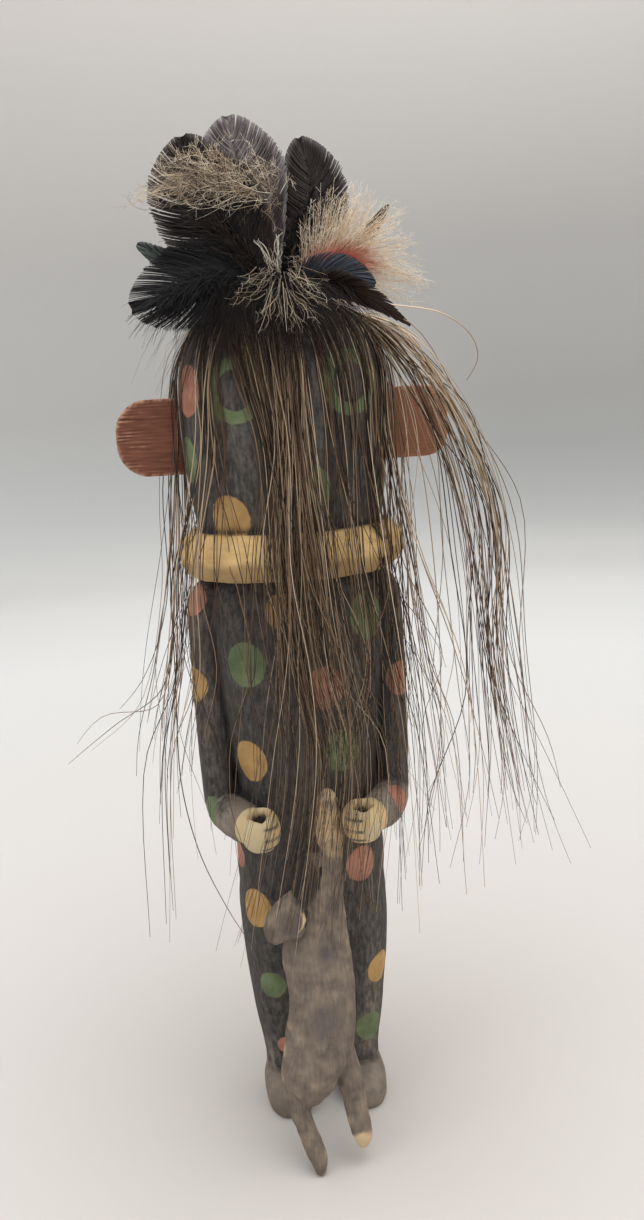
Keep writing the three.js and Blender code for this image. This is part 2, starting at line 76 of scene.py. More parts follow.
def makeCamera():
    lens = bpy.data.cameras.new("portraitCamera")
    lens.sensor_width = 36
    lens.lens = camera["focal"] / camera["longSide"] * 36
    lens.shift_x = camera["shiftRight"] / camera["longSide"]
    lens.clip_start = 0.01
    turn, down = math.radians(camera["azimuth"]), math.radians(camera["down"])
    back = Vector((math.sin(turn), -math.cos(turn), 0))
    ahead = -back * math.cos(down) - Vector((0, 0, math.sin(down)))
    stand = bpy.data.objects.new("portraitCamera", lens)
    spin = ahead.to_track_quat("-Z", "Y").to_matrix().to_4x4()
    spin = spin @ Matrix.Rotation(math.radians(-camera["roll"]), 4, "Z")
    middle = Vector(place([0, 0, camera["height"]]))
    stand.matrix_world = Matrix.Translation(middle + back * camera["distance"] * mm) @ spin
    bpy.context.scene.collection.objects.link(stand)
    bpy.context.scene.camera = stand


makeCamera()
print("camera set")


# Meshes, from points in millimetres
def makeObject(name, points, quads, tris=()):
    quads = np.asarray(quads, np.int32).reshape(-1, 4)
    tris = np.asarray(tris, np.int32).reshape(-1, 3)
    mesh = bpy.data.meshes.new(name)
    mesh.vertices.add(len(points))
    mesh.vertices.foreach_set("co", place(points).astype(np.float32).ravel())
    mesh.loops.add(quads.size + tris.size)
    mesh.loops.foreach_set("vertex_index", np.concatenate([quads.ravel(), tris.ravel()]))
    mesh.polygons.add(len(quads) + len(tris))
    starts = np.concatenate([np.arange(len(quads)) * 4, quads.size + np.arange(len(tris)) * 3])
    mesh.polygons.foreach_set("loop_start", starts.astype(np.int32))
    mesh.polygons.foreach_set("use_smooth", np.ones(len(starts), bool))
    mesh.update(calc_edges=True)
    mesh.validate()
    made = bpy.data.objects.new(name, mesh)
    bpy.context.scene.collection.objects.link(made)
    return made


def setValues(made, **values):
    for name, numbers in values.items():
        kept = made.data.attributes.new(name, "FLOAT", "POINT")
        kept.data.foreach_set("value", np.asarray(numbers, np.float32).ravel())


def surfaceOf(made):
    flat = np.zeros(len(made.data.vertices) * 3, np.float32)
    found = []
    for kind in ("co", "normal"):
        made.data.vertices.foreach_get(kind, flat)
        found.append(flat.reshape(-1, 3).astype(float))
    return laidOut(found[0]), found[1]


def movePoints(made, points):
    made.data.vertices.foreach_set("co", place(points).astype(np.float32).ravel())
    made.data.update()


# One even skin of small squares over whatever overlaps, rubbed smooth
def remesh(made, voxel, smoothing):
    cut = made.modifiers.new("voxel", "REMESH")
    cut.mode = "VOXEL"
    cut.voxel_size = voxel * mm
    rub = made.modifiers.new("rub", "SMOOTH")
    rub.factor = 0.5
    rub.iterations = smoothing
    rough = made.data
    mesh = bpy.data.meshes.new_from_object(made.evaluated_get(bpy.context.evaluated_depsgraph_get()))
    made.modifiers.clear()
    made.data = mesh
    bpy.data.meshes.remove(rough)
    mesh.polygons.foreach_set("use_smooth", np.ones(len(mesh.polygons), bool))
    return made


# How far each point stands out of its surroundings: ridges above 0, creases below
def standingOut(made, points, normals, rounds):
    pairs = np.zeros(len(made.data.edges) * 2, np.int32)
    made.data.edges.foreach_get("vertices", pairs)
    a, b = pairs.reshape(-1, 2).T
    size = len(points)
    near = np.maximum(np.bincount(a, minlength=size) + np.bincount(b, minlength=size), 1)
    calm = points.copy()
    for _ in range(rounds):
        calm = np.stack([(np.bincount(a, c[b], size) + np.bincount(b, c[a], size)) / near for c in calm.T],
            1)
    return ((points - calm) * normals).sum(1)


def bvhOf(made):
    return BVHTree.FromPolygons([v.co for v in made.data.vertices],
        [p.vertices for p in made.data.polygons])


# A soft random unevenness of about that size in mm, between about -1 and 1
def ripple(points, size, seed, count=8):
    draw = np.random.default_rng(seed)
    ways = unit(draw.normal(size=(count, 3))) * (2 * math.pi / size * draw.uniform(0.6, 1.5, (count, 1)))
    return np.sin(points @ ways.T + draw.uniform(0, 2 * math.pi, count)).sum(1) / count ** 0.5


def curveThrough(rows, spots):
    rows = np.asarray(rows, float)
    ends = np.vstack([2 * rows[:1] - rows[1:2], rows, 2 * rows[-1:] - rows[-2:-1]])
    spots = np.clip(np.asarray(spots, float), 0, 1) * (len(rows) - 1)
    step = np.minimum(spots.astype(int), len(rows) - 2)
    p = [ends[step + i] for i in range(4)]
    gap = [np.maximum(np.linalg.norm((p[i + 1] - p[i])[:, :3], axis=1), 1e-6)[:, None] ** 0.5
        for i in range(3)]
    k = [0, gap[0], gap[0] + gap[1], gap[0] + gap[1] + gap[2]]
    t = k[1] + (spots - step)[:, None] * gap[1]
    a = [((k[i + 1] - t) * p[i] + (t - k[i]) * p[i + 1]) / gap[i] for i in range(3)]
    b = [((k[i + 2] - t) * a[i] + (t - k[i]) * a[i + 1]) / (k[i + 2] - k[i]) for i in range(2)]
    return ((k[2] - t) * b[0] + (t - k[1]) * b[1]) / gap[1]


def roundedSquare(squareness, sides):
    turn = 2 * math.pi * np.arange(sides) / sides
    return [np.sign(wave) * np.abs(wave) ** (2 / squareness) for wave in (np.cos(turn), np.sin(turn))]


# A carved limb: sections along a path, each row [x, y, z, halfWidth, halfDepth]
def limb(rows, side=alongX, squareness=2.2, rings=40, sides=40):
    along = curveThrough(rows, np.linspace(0, 1, rings + 1))
    ahead = unit(np.gradient(along[:, :3], axis=0))
    across = unit(side - ahead * (ahead @ side)[:, None])
    through = np.cross(ahead, across)
    u, v = roundedSquare(squareness, sides)
    return closedTube(along[:, None, :3] + across[:, None] * (along[:, 3:4] * u)[..., None]
        + through[:, None] * (along[:, 4:5] * v)[..., None])


def closedTube(ring):
    rings, sides = ring.shape[:2]
    points = np.vstack([ring.reshape(-1, 3), ring[0].mean(0), ring[-1].mean(0)])
    i = np.arange(sides)
    j = (i + 1) % sides
    row = np.arange(rings - 1)[:, None] * sides
    quads = np.stack([row + i, row + j, row + j + sides, row + i + sides], -1).reshape(-1, 4)
    low, last = rings * sides, (rings - 1) * sides
    tris = np.vstack([np.stack([np.full(sides, low), j, i], 1),
        np.stack([np.full(sides, low + 1), last + i, last + j], 1)])
    return points, quads, tris


# A rounded lump, such as a fist or a shoe
def pebble(centre, half, squareness=2.4):
    rise = -np.cos(math.pi * np.arange(31) / 30)
    high = np.sign(rise) * np.abs(rise) ** (2 / squareness)
    share = np.maximum(1 - np.abs(high) ** squareness, 0.0006) ** (1 / squareness)
    middles = np.array(centre) + alongZ * (high * half[2])[:, None]
    u, v = roundedSquare(squareness, 40)
    return closedTube(middles[:, None] + alongX * (share[:, None] * half[0] * u)[..., None]
        + alongY * (share[:, None] * half[1] * v)[..., None])


def joinBodies(name, bodies):
    points, quads, tris = zip(*bodies)
    starts = np.cumsum([0] + [len(p) for p in points])
    return makeObject(name, np.vstack(points), np.vstack([q + s for q, s in zip(quads, starts)]),
        np.vstack([t + s for t, s in zip(tris, starts)]))


# Many thin three-sided strands in one mesh: paths (strand, step, xyz), halfWidths (strand, step)
def makeStrands(name, paths, halfWidths, across, flatness=1.0, **values):
    count, steps = paths.shape[:2]
    ahead = unit(np.gradient(paths, axis=1))
    across = np.broadcast_to(across, paths.shape)
    across = unit(across - ahead * (across * ahead).sum(-1, keepdims=True))
    through = np.cross(ahead, across)
    turn = 2 * math.pi * np.arange(3) / 3 + math.pi / 2
    ring = (paths[:, :, None] + across[:, :, None] * (halfWidths[:, :, None] * np.cos(turn))[..., None]
        + through[:, :, None] * (flatness * halfWidths[:, :, None] * np.sin(turn))[..., None])
    first = (np.arange(count)[:, None, None] * steps + np.arange(steps - 1)[None, :, None]) * 3
    i = np.arange(3)
    j = (i + 1) % 3
    quads = np.stack([first + i, first + j, first + j + 3, first + i + 3], -1).reshape(-1, 4)
    root = np.arange(count)[:, None] * steps * 3
    tris = np.vstack([root + [2, 1, 0], root + (steps - 1) * 3 + [0, 1, 2]])
    made = makeObject(name, ring.reshape(-1, 3), quads, tris)
    for key, value in values.items():
        value = np.asarray(value, float)
        value = value[:, None] if value.ndim == 1 else value
        setValues(made, **{key: np.repeat(np.broadcast_to(value, (count, steps)).reshape(-1), 3)})
    return made


def finishPiece(made, material, slot, *nodes):
    made.data.materials.clear()
    made.data.materials.append(material)
    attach(made, "root")
    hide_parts(*nodes)
    print(made.name, len(made.data.polygons), "faces")
    return made


# Materials: addNode sets a node up, links it and hands back the output that is asked for
colourMix = {"take": 2, "data_type": "RGBA"}
softStep = {"interpolation_type": "SMOOTHSTEP"}


def linear(hexColour):
    channels = [int(hexColour[i:i + 2], 16) / 255 for i in (1, 3, 5)]
    return tuple(c / 12.92 if c <= 0.04045 else ((c + 0.055) / 1.055) ** 2.4 for c in channels) + (1.0,)


def addNode(tree, kind, inputs, take=0, stops=(), **settings):
    made = tree.nodes.new("ShaderNode" + kind)
    for name, value in settings.items():
        setattr(made, name, value)
    for key, value in inputs.items():
        if isinstance(value, bpy.types.NodeSocket):
            tree.links.new(value, made.inputs[key])
        else:
            made.inputs[key].default_value = linear(value) if isinstance(value, str) else value
    for _ in stops[2:]:
        made.color_ramp.elements.new(1.0)
    for number, (spot, colour) in enumerate(stops):
        made.color_ramp.elements[number].position = spot
        made.color_ramp.elements[number].color = linear(colour)
    return made.outputs[take] if made.outputs else None


def startMaterial(name):
    material = bpy.data.materials.new(name)
    material.use_nodes = True
    material.node_tree.nodes.clear()
    return material, material.node_tree


def closeMaterial(material, surface):
    shader = addNode(material.node_tree, "BsdfPrincipled", surface)
    addNode(material.node_tree, "OutputMaterial", {"Surface": shader})
    return material


# Cottonwood root under thin milk paint put on with a brush: flat and chalky, darker where the brush was
# full, with the wood's upright grain and the rubbed paler places showing through
paints = {
    "sootBlack": "#2e2d2c", "rubbedBlack": "#504e4b", "brownUnder": "#463a2e", "rubbedEdge": "#918477",
    "crease": "#1d1a17", "ruffWood": "#dfbd84", "ruffRing": "#bd955c", "ruffShade": "#8f7350",
    # over the black: attribute, dark, light, where the mottle starts and ends, soft edge, ragged edge
    "layers": [("taupeEdge", "#766b60", "#918477", 0.35, 0.7, 0.22, 0.9),
        ("ochreEdge", "#aa8450", "#c49f69", 0.3, 0.7, 0.22, 0.9),
        ("greenEdge", "#5d6948", "#788562", 0.3, 0.7, 0.22, 0.9),
        ("salmonEdge", "#9c6a57", "#bd8670", 0.3, 0.7, 0.22, 0.9),
        ("handEdge", "#c9b893", "#dfbd84", 0.35, 0.75, 0.2, 0.5),
        ("fingerEdge", "#6f6a62", "#6f6a62", 0, 1, 0.25, 0.4),
        ("holeEdge", "#2a1c12", "#2a1c12", 0, 1, 0.3, 0.6)],
    # sizes in mm: the real fibre is near 0.03 mm and wouldn't show, so it is drawn ten times as coarse
    "grain": {"streak": 1.1, "mottle": 7.0, "ragged": 1.6, "speck": 0.9, "ring": 1.8, "fibre": 0.35},
}


def paintedCottonwood():
    material, tree = startMaterial("milkPaintedCottonwood")
    spot = addNode(tree, "TexCoord", {}, take="Object")
    upright = addNode(tree, "Mapping", {"Vector": spot, "Scale": (1, 1, 0.3)})
    flatwise = addNode(tree, "Mapping", {"Vector": spot, "Scale": (0.35, 0.35, 1)})
    grain = {}
    for name, vector, detail, rough in (("streak", upright, 4, 0.55), ("mottle", spot, 6, 0.6),
            ("fibre", upright, 3, 0.55), ("ragged", spot, 4, 0.55), ("speck", spot, 5, 0.7),
            ("ring", flatwise, 4, 0.55)):
        grain[name] = addNode(tree, "TexNoise", {"Vector": vector,
            "Scale": 1 / (paints["grain"][name] * mm), "Detail": detail, "Roughness": rough})
    spread = {}
    for name, kind, low, high, start, end in (("brush", "streak", 0.3, 0.72, 0, 1),
            ("under", "mottle", 0.5, 0.72, 0, 0.4), ("speck", "speck", 0.35, 0.65, 0, 1),
            ("rub", "streak", 0.35, 0.75, 0.2, 1), ("dry", "streak", 0.62, 0.8, 1, 0.72),
            ("ring", "ring", 0.35, 0.8, 0, 0.6), ("matt", "streak", 0.2, 0.8, 0.62, 0.86)):
        spread[name] = addNode(tree, "MapRange", {"Value": grain[kind], "From Min": low, "From Max": high,
            "To Min": start, "To Max": end}, **softStep)
    marks = {name: addNode(tree, "Attribute", {}, take="Fac", attribute_name=name)
        for name in ["wear", "crease", "shadeBelow", "ruffEdge"] + [layer[0] for layer in paints["layers"]]}
    colour = addNode(tree, "Mix", {0: spread["brush"], 6: paints["sootBlack"], 7: paints["rubbedBlack"]},
        **colourMix)
    colour = addNode(tree, "Mix", {0: spread["under"], 6: colour, 7: paints["brownUnder"]}, **colourMix)
    speck = addNode(tree, "Mix", {0: spread["speck"], 6: (0.78, 0.78, 0.8, 1), 7: (1.3, 1.27, 1.24, 1)},
        **colourMix)
    colour = addNode(tree, "Mix", {0: 1.0, 6: colour, 7: speck}, blend_type="MULTIPLY", **colourMix)
    worn = addNode(tree, "Math", {0: marks["wear"], 1: spread["rub"]}, operation="MULTIPLY")
    colour = addNode(tree, "Mix", {0: worn, 6: colour, 7: paints["rubbedEdge"]}, **colourMix)
    wood = addNode(tree, "Mix", {0: spread["ring"], 6: paints["ruffWood"], 7: paints["ruffRing"]},
        **colourMix)
    wood = addNode(tree, "Mix", {0: marks["shadeBelow"], 6: wood, 7: paints["ruffShade"]}, **colourMix)
    uneven = addNode(tree, "Math", {0: grain["ragged"], 1: 0.5}, operation="SUBTRACT")
    for name, dark, light, low, high, soft, ragged in paints["layers"] + [
            ("ruffEdge", wood, wood, 0, 1, 0.15, 0.3)]:
        mottled = addNode(tree, "MapRange", {"Value": grain["mottle"], "From Min": low, "From Max": high},
            **softStep)
        paint = addNode(tree, "Mix", {0: mottled, 6: dark, 7: light}, **colourMix)
        edge = addNode(tree, "Math", {0: uneven, 1: ragged, 2: marks[name]}, operation="MULTIPLY_ADD")
        cover = addNode(tree, "MapRange", {"Value": edge, "From Min": -soft, "From Max": soft,
            "To Min": 1.0, "To Max": 0.0}, **softStep)
        if name in spots:  # the black shows where the brush ran dry
            cover = addNode(tree, "Math", {0: cover, 1: spread["dry"]}, operation="MULTIPLY")
        colour = addNode(tree, "Mix", {0: cover, 6: colour, 7: paint}, **colourMix)
    # painted shade: the colour is darkened towards near-black in the carving's creases
    colour = addNode(tree, "Mix", {0: marks["crease"], 6: colour, 7: paints["crease"]}, **colourMix)
    relief = addNode(tree, "Math", {0: grain["fibre"], 1: 0.7, 2: grain["streak"]},
        operation="MULTIPLY_ADD")
    bump = addNode(tree, "Bump", {"Strength": 0.5, "Distance": 0.12 * mm, "Height": relief})
    return closeMaterial(material, {"Base Color": colour, "Roughness": spread["matt"], "Normal": bump,
        "IOR": 1.5, "Specular IOR Level": 0.28})


# The figure: one carved body, with the same forms as its solid and a finer surface. Sizes are in mm
body = {"voxel": 0.78, "smoothing": 4, "stance": 22.6, "shoe": (15.4, 28.0, 11.5), "ankle": 14.0,
    "thigh": 22.4, "hip": 44.0, "waist": 41.0, "chest": 50.0, "torsoDepth": 38.0, "shoulders": 62.5,
    "arm": 9.8, "ruff": (64.0, 60.0), "head": (57.4, 53.0), "handSpan": 28.6, "handShift": -1.3,
    "reach": 25.0, "fist": (11.8, 13.2), "grip": 5.0, "ruffLift": 1.8, "knuckles": (0.16, -0.09, -0.31)}
farOff = 9.0  # mm, beyond every painted edge
headOutline = [[-0.06, 0.88], [0.03, 0.915], [0.14, 0.95], [0.3, 0.985], [0.46, 1], [0.62, 1], [0.75, 0.96],
    [0.86, 0.86], [0.94, 0.68], [0.985, 0.42], [1, 0.02]]


def handMiddle(hand):
    return np.array([hand * body["handSpan"] / 2 + body["handShift"], -body["reach"], level["hand"]])


def headBody():
    wide, deep = body["head"]
    rows = [[0, 0, level["ruffTop"] + up * headTall, share * wide / 2, share * deep / 2]
        for up, share in headOutline]
    return limb(rows, squareness=2.25, rings=90, sides=120)


def ruffBody():
    profile = [[0.86, 0], [0.9, 0.015], [0.965, 0.15], [1, 0.4], [0.995, 0.66], [0.955, 0.84],
        [0.89, 0.985], [0.86, 1]]
    turn = 2 * math.pi * np.arange(160) / 160
    ruffLow = level["shoulder"] + body["ruffLift"]
    wide, deep = np.array(body["ruff"]) / 2
    ring = []
    for out, up in profile:
        rough = out * (1 + 0.006 * np.sin(5 * turn + 1) + 0.005 * np.sin(9 * turn + 2 + 3 * up))
        high = ruffLow + up * (level["ruffTop"] - ruffLow) + 0.25 * np.sin(3 * turn + up)
        ring.append(np.stack([rough * wide * np.cos(turn), rough * deep * np.sin(turn), high], 1))
    return closedTube(np.array(ring))


def torsoBody():
    hip, waist, chest, deep = body["hip"], body["waist"], body["chest"], body["torsoDepth"]
    outline = [[-0.1, 0.44 * hip, 0.34], [0.02, 0.495 * hip, 0.41], [0.18, 0.5 * hip, 0.45],
        [0.36, 0.5 * waist, 0.47], [0.56, 0.25 * (waist + chest), 0.49], [0.78, 0.5 * chest, 0.5],
        [0.92, 0.5 * chest, 0.485], [0.98, 0.46 * chest, 0.44], [1.03, 0.38 * chest, 0.38]]
    rows = [[0, 0, level["hip"] + up * torsoLong, wide, share * deep] for up, wide, share in outline]
    return limb(rows, squareness=2.4, rings=90, sides=110)


def backBody():
    wide = (body["shoulders"] - body["arm"]) / 2
    deep, back = 0.2 * body["torsoDepth"], 0.22 * body["torsoDepth"]
    hand, shoulder = level["hand"], level["shoulder"]
    rows = [[0, back, hand - 0.02 * torsoLong, 0.8 * wide, 0.6 * deep],
        [0, back, hand + 0.06 * torsoLong, 0.94 * wide, deep],
        [0, back, hand + 0.35 * torsoLong, wide, deep], [0, back, shoulder - 0.1 * torsoLong, wide, deep],
        [0, back, shoulder - 0.02 * torsoLong, 0.86 * wide, 0.8 * deep]]
    return limb(rows, squareness=2.6, rings=60, sides=90)


def armBodies(hand):
    half, deep = body["arm"] / 2, 0.18 * body["torsoDepth"]
    out = (body["shoulders"] - body["arm"]) / 2
    top, wrist = level["shoulder"], level["hand"]
    upper = [[out - 4.2, 0, top - 0.6, 0.35 * half, 0.4 * deep],
        [out - 2.4, 0, top - 2.4, 0.8 * half, 0.8 * deep], [out - 0.6, -0.4, top - 7.5, half, deep],
        [out, -1, top - 0.25 * torsoLong, half, deep],
        [out + 0.1, -1.4, top - 0.45 * torsoLong, half, 0.96 * deep],
        [out - 0.2, -2.2, wrist + 8, 0.95 * half, 0.92 * deep],
        [out - 0.9, -3.4, wrist - 0.5, 0.92 * half, 0.8 * deep],
        [out - 1.8, -4.5, wrist - 5.4, 0.3 * half, 0.3 * deep]]
    half, rise = 0.46 * body["fist"][0], 0.42 * body["fist"][1]
    reach = body["reach"]
    lower = [[out - 0.4, 3, wrist + 0.4, 0.4 * half, 0.4 * rise],
        [out - 0.9, 0, wrist + 0.2, 0.86 * half, 0.9 * rise],
        [out - 2.2, -0.3 * reach, wrist - 0.2, half, rise],
        [out - 6.2, -0.65 * reach, wrist - 0.4, half, rise],
        [hand * handMiddle(hand)[0], -reach, wrist, 0.8 * half, 0.8 * rise]]
    for rows in (upper, lower):
        for row in rows:
            row[0] *= hand
    wide, tallness = body["fist"]
    fist = pebble(handMiddle(hand), [0.47 * wide, 0.5 * wide, 0.46 * tallness], 2.35)
    return [limb(upper, squareness=2.3, rings=70), limb(lower), fist]


def legBodies(hand):
    foot, ankle, thigh, deep = body["stance"] / 2, body["ankle"], body["thigh"], body["torsoDepth"]
    outline = [[-0.1, 0.97 * foot, ankle, 0.235], [0.05, 0.97 * foot, ankle, 0.24],
        [0.3, 0.99 * foot, 0.6 * ankle + 0.4 * thigh, 0.28], [0.6, foot, 0.2 * ankle + 0.8 * thigh, 0.35],
        [0.9, foot, thigh, 0.4], [1.12, 0.96 * foot, 0.96 * thigh, 0.38]]
    rows = [[hand * out, 0.5, level["ankle"] + up * (level["hip"] - level["ankle"]), wide / 2, share * deep]
        for up, out, wide, share in outline]
    wide, long, high = body["shoe"]
    shoe = pebble([hand * foot, -0.12 * long, 0.36 * high], [wide / 2, long / 2, 0.66 * high], 2.5)
    return [limb(rows, squareness=2.3, rings=60, sides=60), shoe]


# Painted spots: [x, y, z, radius] on the wood, by colour
spots = {
    "ochreEdge": [[-17.5, -19.6, 184.3, 6.0], [-5.4, -17.9, 157.9, 4.5], [-16.7, -13, 114.3, 5.6],
        [-30.6, -5, 136.2, 4.6], [-18.1, -11.7, 68.2, 5.3], [18.0, -9.6, 43.8, 4.6], [-8, 26, 226, 5],
        [14, 19, 150, 5.4], [-10, 17, 96, 5.2], [28, 8, 106, 4.5], [12, 14, 62, 5], [24, 14, 196, 5.4],
        [-13, 10, 36, 4.4]],
    "greenEdge": [[-27.1, -9.1, 200.2, 5.6], [3.7, -25.1, 191.7, 5.7], [25.2, -11.7, 189.3, 4.1],
        [19, -13.6, 154.2, 6.2], [-16, -15.5, 143.2, 5.9], [9.4, -17, 116.4, 5.6], [-29, -9.3, 98.5, 4.2],
        [-14.8, -11.5, 42.5, 4.2], [14.4, -8.9, 23.5, 4.5], [9, 25, 206, 5.6], [-15, 18, 128, 5.6],
        [18, 16, 118, 5.2], [-31, 4, 150, 4.4], [-14, 12, 64, 4.8], [-20, 18, 190, 5.2], [12, 12, 34, 4.4]],
    "salmonEdge": [[-25.9, -12, 218.5, 6.2], [5.4, -18.7, 135.5, 5.6], [28.6, -6.6, 133.4, 4.6],
        [-28.9, -4.4, 160.6, 4.2], [25.1, -16, 100.1, 4.2], [-21.2, -4.8, 82.9, 3.8],
        [13.5, -13.8, 80.1, 5], [-12, -9, 20.4, 2.6], [24, 6, 224, 5.6], [-24, 12, 214, 5],
        [-4, 19, 156, 5.4], [4, 18, 104, 5.2], [-28, 6, 112, 4.2], [2, 25, 184, 5.6], [13, 14, 82, 4.6]],
}
eyes = {"places": [[-13.9, -23.5, 217.9], [16.1, -22.6, 218.2]], "outer": 8.6, "inner": 5.3}


def onWood(tree, spot):
    return laidOut(tree.find_nearest(Vector(place(spot)))[0])


# How far each point lies outside a bent tube: rows [x, y, z, radius]
def tubeReach(points, rows):
    rows = np.asarray(rows, float)
    best = np.full(len(points), np.inf)
    for a, b in zip(rows[:-1], rows[1:]):
        t = np.clip(((points - a[:3]) @ (b - a)[:3]) / ((b - a)[:3] ** 2).sum(), 0, 1)[:, None]
        near = a + (b - a) * t
        best = np.minimum(best, np.linalg.norm(points - near[:, :3], axis=1) - near[:, 3])
    return best


def makeFigure():
    bodies = [headBody(), ruffBody(), torsoBody(), backBody()]
    for hand in (-1, 1):
        bodies += armBodies(hand) + legBodies(hand)
    made = remesh(joinBodies("carved_figure", bodies), body["voxel"], body["smoothing"])
    points, normals = surfaceOf(made)
    # knife work and hand sanding: broad shallow flats and a few long scrapes
    stretched = points * [1, 1, 0.45]
    points += normals * (0.1 * ripple(stretched, 9, 11) + 0.05 * ripple(stretched, 3.5, 12))[:, None]
    # grip holes, finger grooves, and the flat soles
    finger, hole, hands = np.full((3, len(points)), farOff)
    taupe = points[:, 2] - level["ankle"] - 0.4
    fistTall, wrist = body["fist"][1], level["hand"]
    for hand in (-1, 1):
        middle = handMiddle(hand)
        local = points - middle
        top = np.clip((local[:, 2] - 0.1 * fistTall) / (0.4 * fistTall), 0, 1)
        bore = np.hypot(local[:, 0] - 0.2 * hand, 1.15 * (local[:, 1] + 1.0)) - 0.56 * body["grip"]
        bore = bore + 0.25 * ripple(points, 2.5, 51)
        atHand = np.linalg.norm(local, axis=1) < 9.5
        points[:, 2] -= np.where(atHand, np.clip((0.5 - bore) / 0.9, 0, 1) * top * 4.5, 0)
        frontRim = np.exp(-((local[:, 1] + 4.4) / 1.6) ** 2 - (local[:, 0] / 3.2) ** 2)
        points[:, 2] -= np.where(atHand, frontRim * top * 1.1, 0)
        hole = np.minimum(hole, np.where(atHand, bore - 0.25 + (1 - top) * 2.5, farOff))
        hands = np.minimum(hands, np.linalg.norm(local * [1, 0.95, 1], axis=1) - 7.4)
        inward, sideways = np.array([[-hand, -1, 0], [-hand, 1, 0]]) / 2 ** 0.5
        face = atHand & (local @ inward > 3.0)
        for up in body["knuckles"]:
            line = np.abs(local[:, 2] - up * fistTall) - 0.42
            groove = np.where(face, np.maximum(line, np.abs(local @ sideways + 0.4) - 2.9), farOff)
            points -= inward * (np.clip(0.4 - groove, 0, 0.8) * 0.8)[:, None]
            finger = np.minimum(finger, groove)
        out = (body["shoulders"] - body["arm"]) / 2
        sleeve = [[hand * (out - 0.4), 2, wrist + 0.2, 5.3], [hand * (out - 1.2), -4, wrist - 0.4, 5.6],
            [hand * (out - 2.6), -9, wrist - 0.6, 5.9], [hand * (out - 6.2), -16.3, wrist - 0.4, 5.7],
            [middle[0], -body["reach"], wrist, 5.2]]
        taupe = np.minimum(taupe, tubeReach(points, sleeve))
    points[:, 2] = np.maximum(points[:, 2], 0)
    movePoints(made, points)
    # the painted spots and the mask's ring eyes, each round the nearest place on the wood
    tree = bvhOf(made)
    for name, kept in spots.items():
        reach = np.full(len(points), farOff)
        for *middle, radius in kept:
            away = np.linalg.norm((points - onWood(tree, middle)) * [1, 1, 0.9], axis=1)
            reach = np.minimum(reach, away - radius)
        for middle in eyes["places"] if name == "greenEdge" else []:
            away = np.linalg.norm(points - onWood(tree, middle), axis=1)
            reach = np.minimum(reach, np.maximum(eyes["inner"] - away, away - eyes["outer"]))
        setValues(made, **{name: reach})
    height = points[:, 2]
    ruffEdge = np.maximum(level["shoulder"] + body["ruffLift"] - height, height - level["ruffTop"]) - 0.15
    middleRuff = (level["shoulder"] + level["ruffTop"]) / 2
    shade = np.clip((middleRuff + 0.6 + 0.4 * ripple(points, 12, 61) - height) / 1.6, 0, 1) * 0.55
    relief = standingOut(made, points, normals, 12)
    low = np.clip((level["hip"] - height) / 30, 0, 1)
    bulge = np.clip(ripple(points * [1, 1, 0.3], 14, 21), 0, 1)
    wear = np.clip(0.1 + (0.45 * low + 0.15) * bulge + 1.2 * np.clip(relief - 0.1, 0, 0.6), 0, 0.8)
    # in creases and hollows the colour is darkened, as painted shade, from how far each point sinks below
    # its surroundings
    setValues(made, ruffEdge=ruffEdge, handEdge=hands, taupeEdge=taupe, fingerEdge=finger, holeEdge=hole,
        shadeBelow=shade, wear=wear, crease=np.clip(-relief * 2.2 - 0.08, 0, 0.9))
    return finishPiece(made, paintedCottonwood(), "painted_wood", "figure")


figurePiece = makeFigure()
figureTree = bvhOf(figurePiece)
print("figure carved and painted")


# Lifts whatever runs into the wood to that clearance above it
def keepOutside(paths, clearances):
    for path, clearance in zip(paths, clearances):
        for point in path:
            spot = Vector(place(point))
            near, normal, _, away = figureTree.find_nearest(spot)
            if (spot - near).dot(normal) < clearance * mm and away < 25 * mm:
                point[:] = laidOut(near + normal * clearance * mm)


# Ears: a cottonwood board as the saw left it, under thin earth-red paint. It looks dry and flat, dark in
# the saw's level grooves and rubbed pale on their ridges and round the rim. The right ear is painted paler
# all over, as painted light where it faces the lamp
ears = {"voxel": 0.44, "sawPitch": 1.0, "sawDepth": 0.2, "sawMark": 0.8, "patch": 5.0,  # in mm
        "ridges": [(0.3, "#3d2620"), (0.5, "#6f4739"), (0.72, "#8a5c49"), (0.9, "#b08670")],
        "layers": {"wornEdge": "#c79a80", "faded": "#c08a6c"}, "fade": {"left": 0.0, "right": 0.5}}


def sawnRedBoard():
    material, tree = startMaterial("earthRedOnSawnBoard")
    spot = addNode(tree, "TexCoord", {}, take="Object")
    lengthwise = addNode(tree, "Mapping", {"Vector": spot, "Scale": (0.12, 1, 1)})
    marks = addNode(tree, "TexNoise", {"Vector": lengthwise, "Scale": 1 / (ears["sawMark"] * mm),
        "Detail": 3})
    patch = addNode(tree, "TexNoise", {"Vector": spot, "Scale": 1 / (ears["patch"] * mm), "Detail": 4})
    ridge = addNode(tree, "Attribute", {}, take="Fac", attribute_name="ridge")
    lifted = addNode(tree, "Math", {0: marks, 1: 0.5, 2: ridge}, operation="MULTIPLY_ADD")
    red = addNode(tree, "ValToRGB", {"Fac": lifted}, stops=ears["ridges"])
    tint = addNode(tree, "Mix", {0: patch, 6: (0.85, 0.85, 0.85, 1), 7: (1.15, 1.1, 1.08, 1)}, **colourMix)
    colour = addNode(tree, "Mix", {0: 1.0, 6: red, 7: tint}, blend_type="MULTIPLY", **colourMix)
    for name, pale in ears["layers"].items():
        share = addNode(tree, "Attribute", {}, take="Fac", attribute_name=name)
        colour = addNode(tree, "Mix", {0: share, 6: colour, 7: pale}, **colourMix)
    bump = addNode(tree, "Bump", {"Strength": 0.5, "Distance": 0.15 * mm, "Height": marks})
    return closeMaterial(material, {"Base Color": colour, "Normal": bump, "IOR": 1.5, "Roughness": 0.85,
        "Specular IOR Level": 0.2})


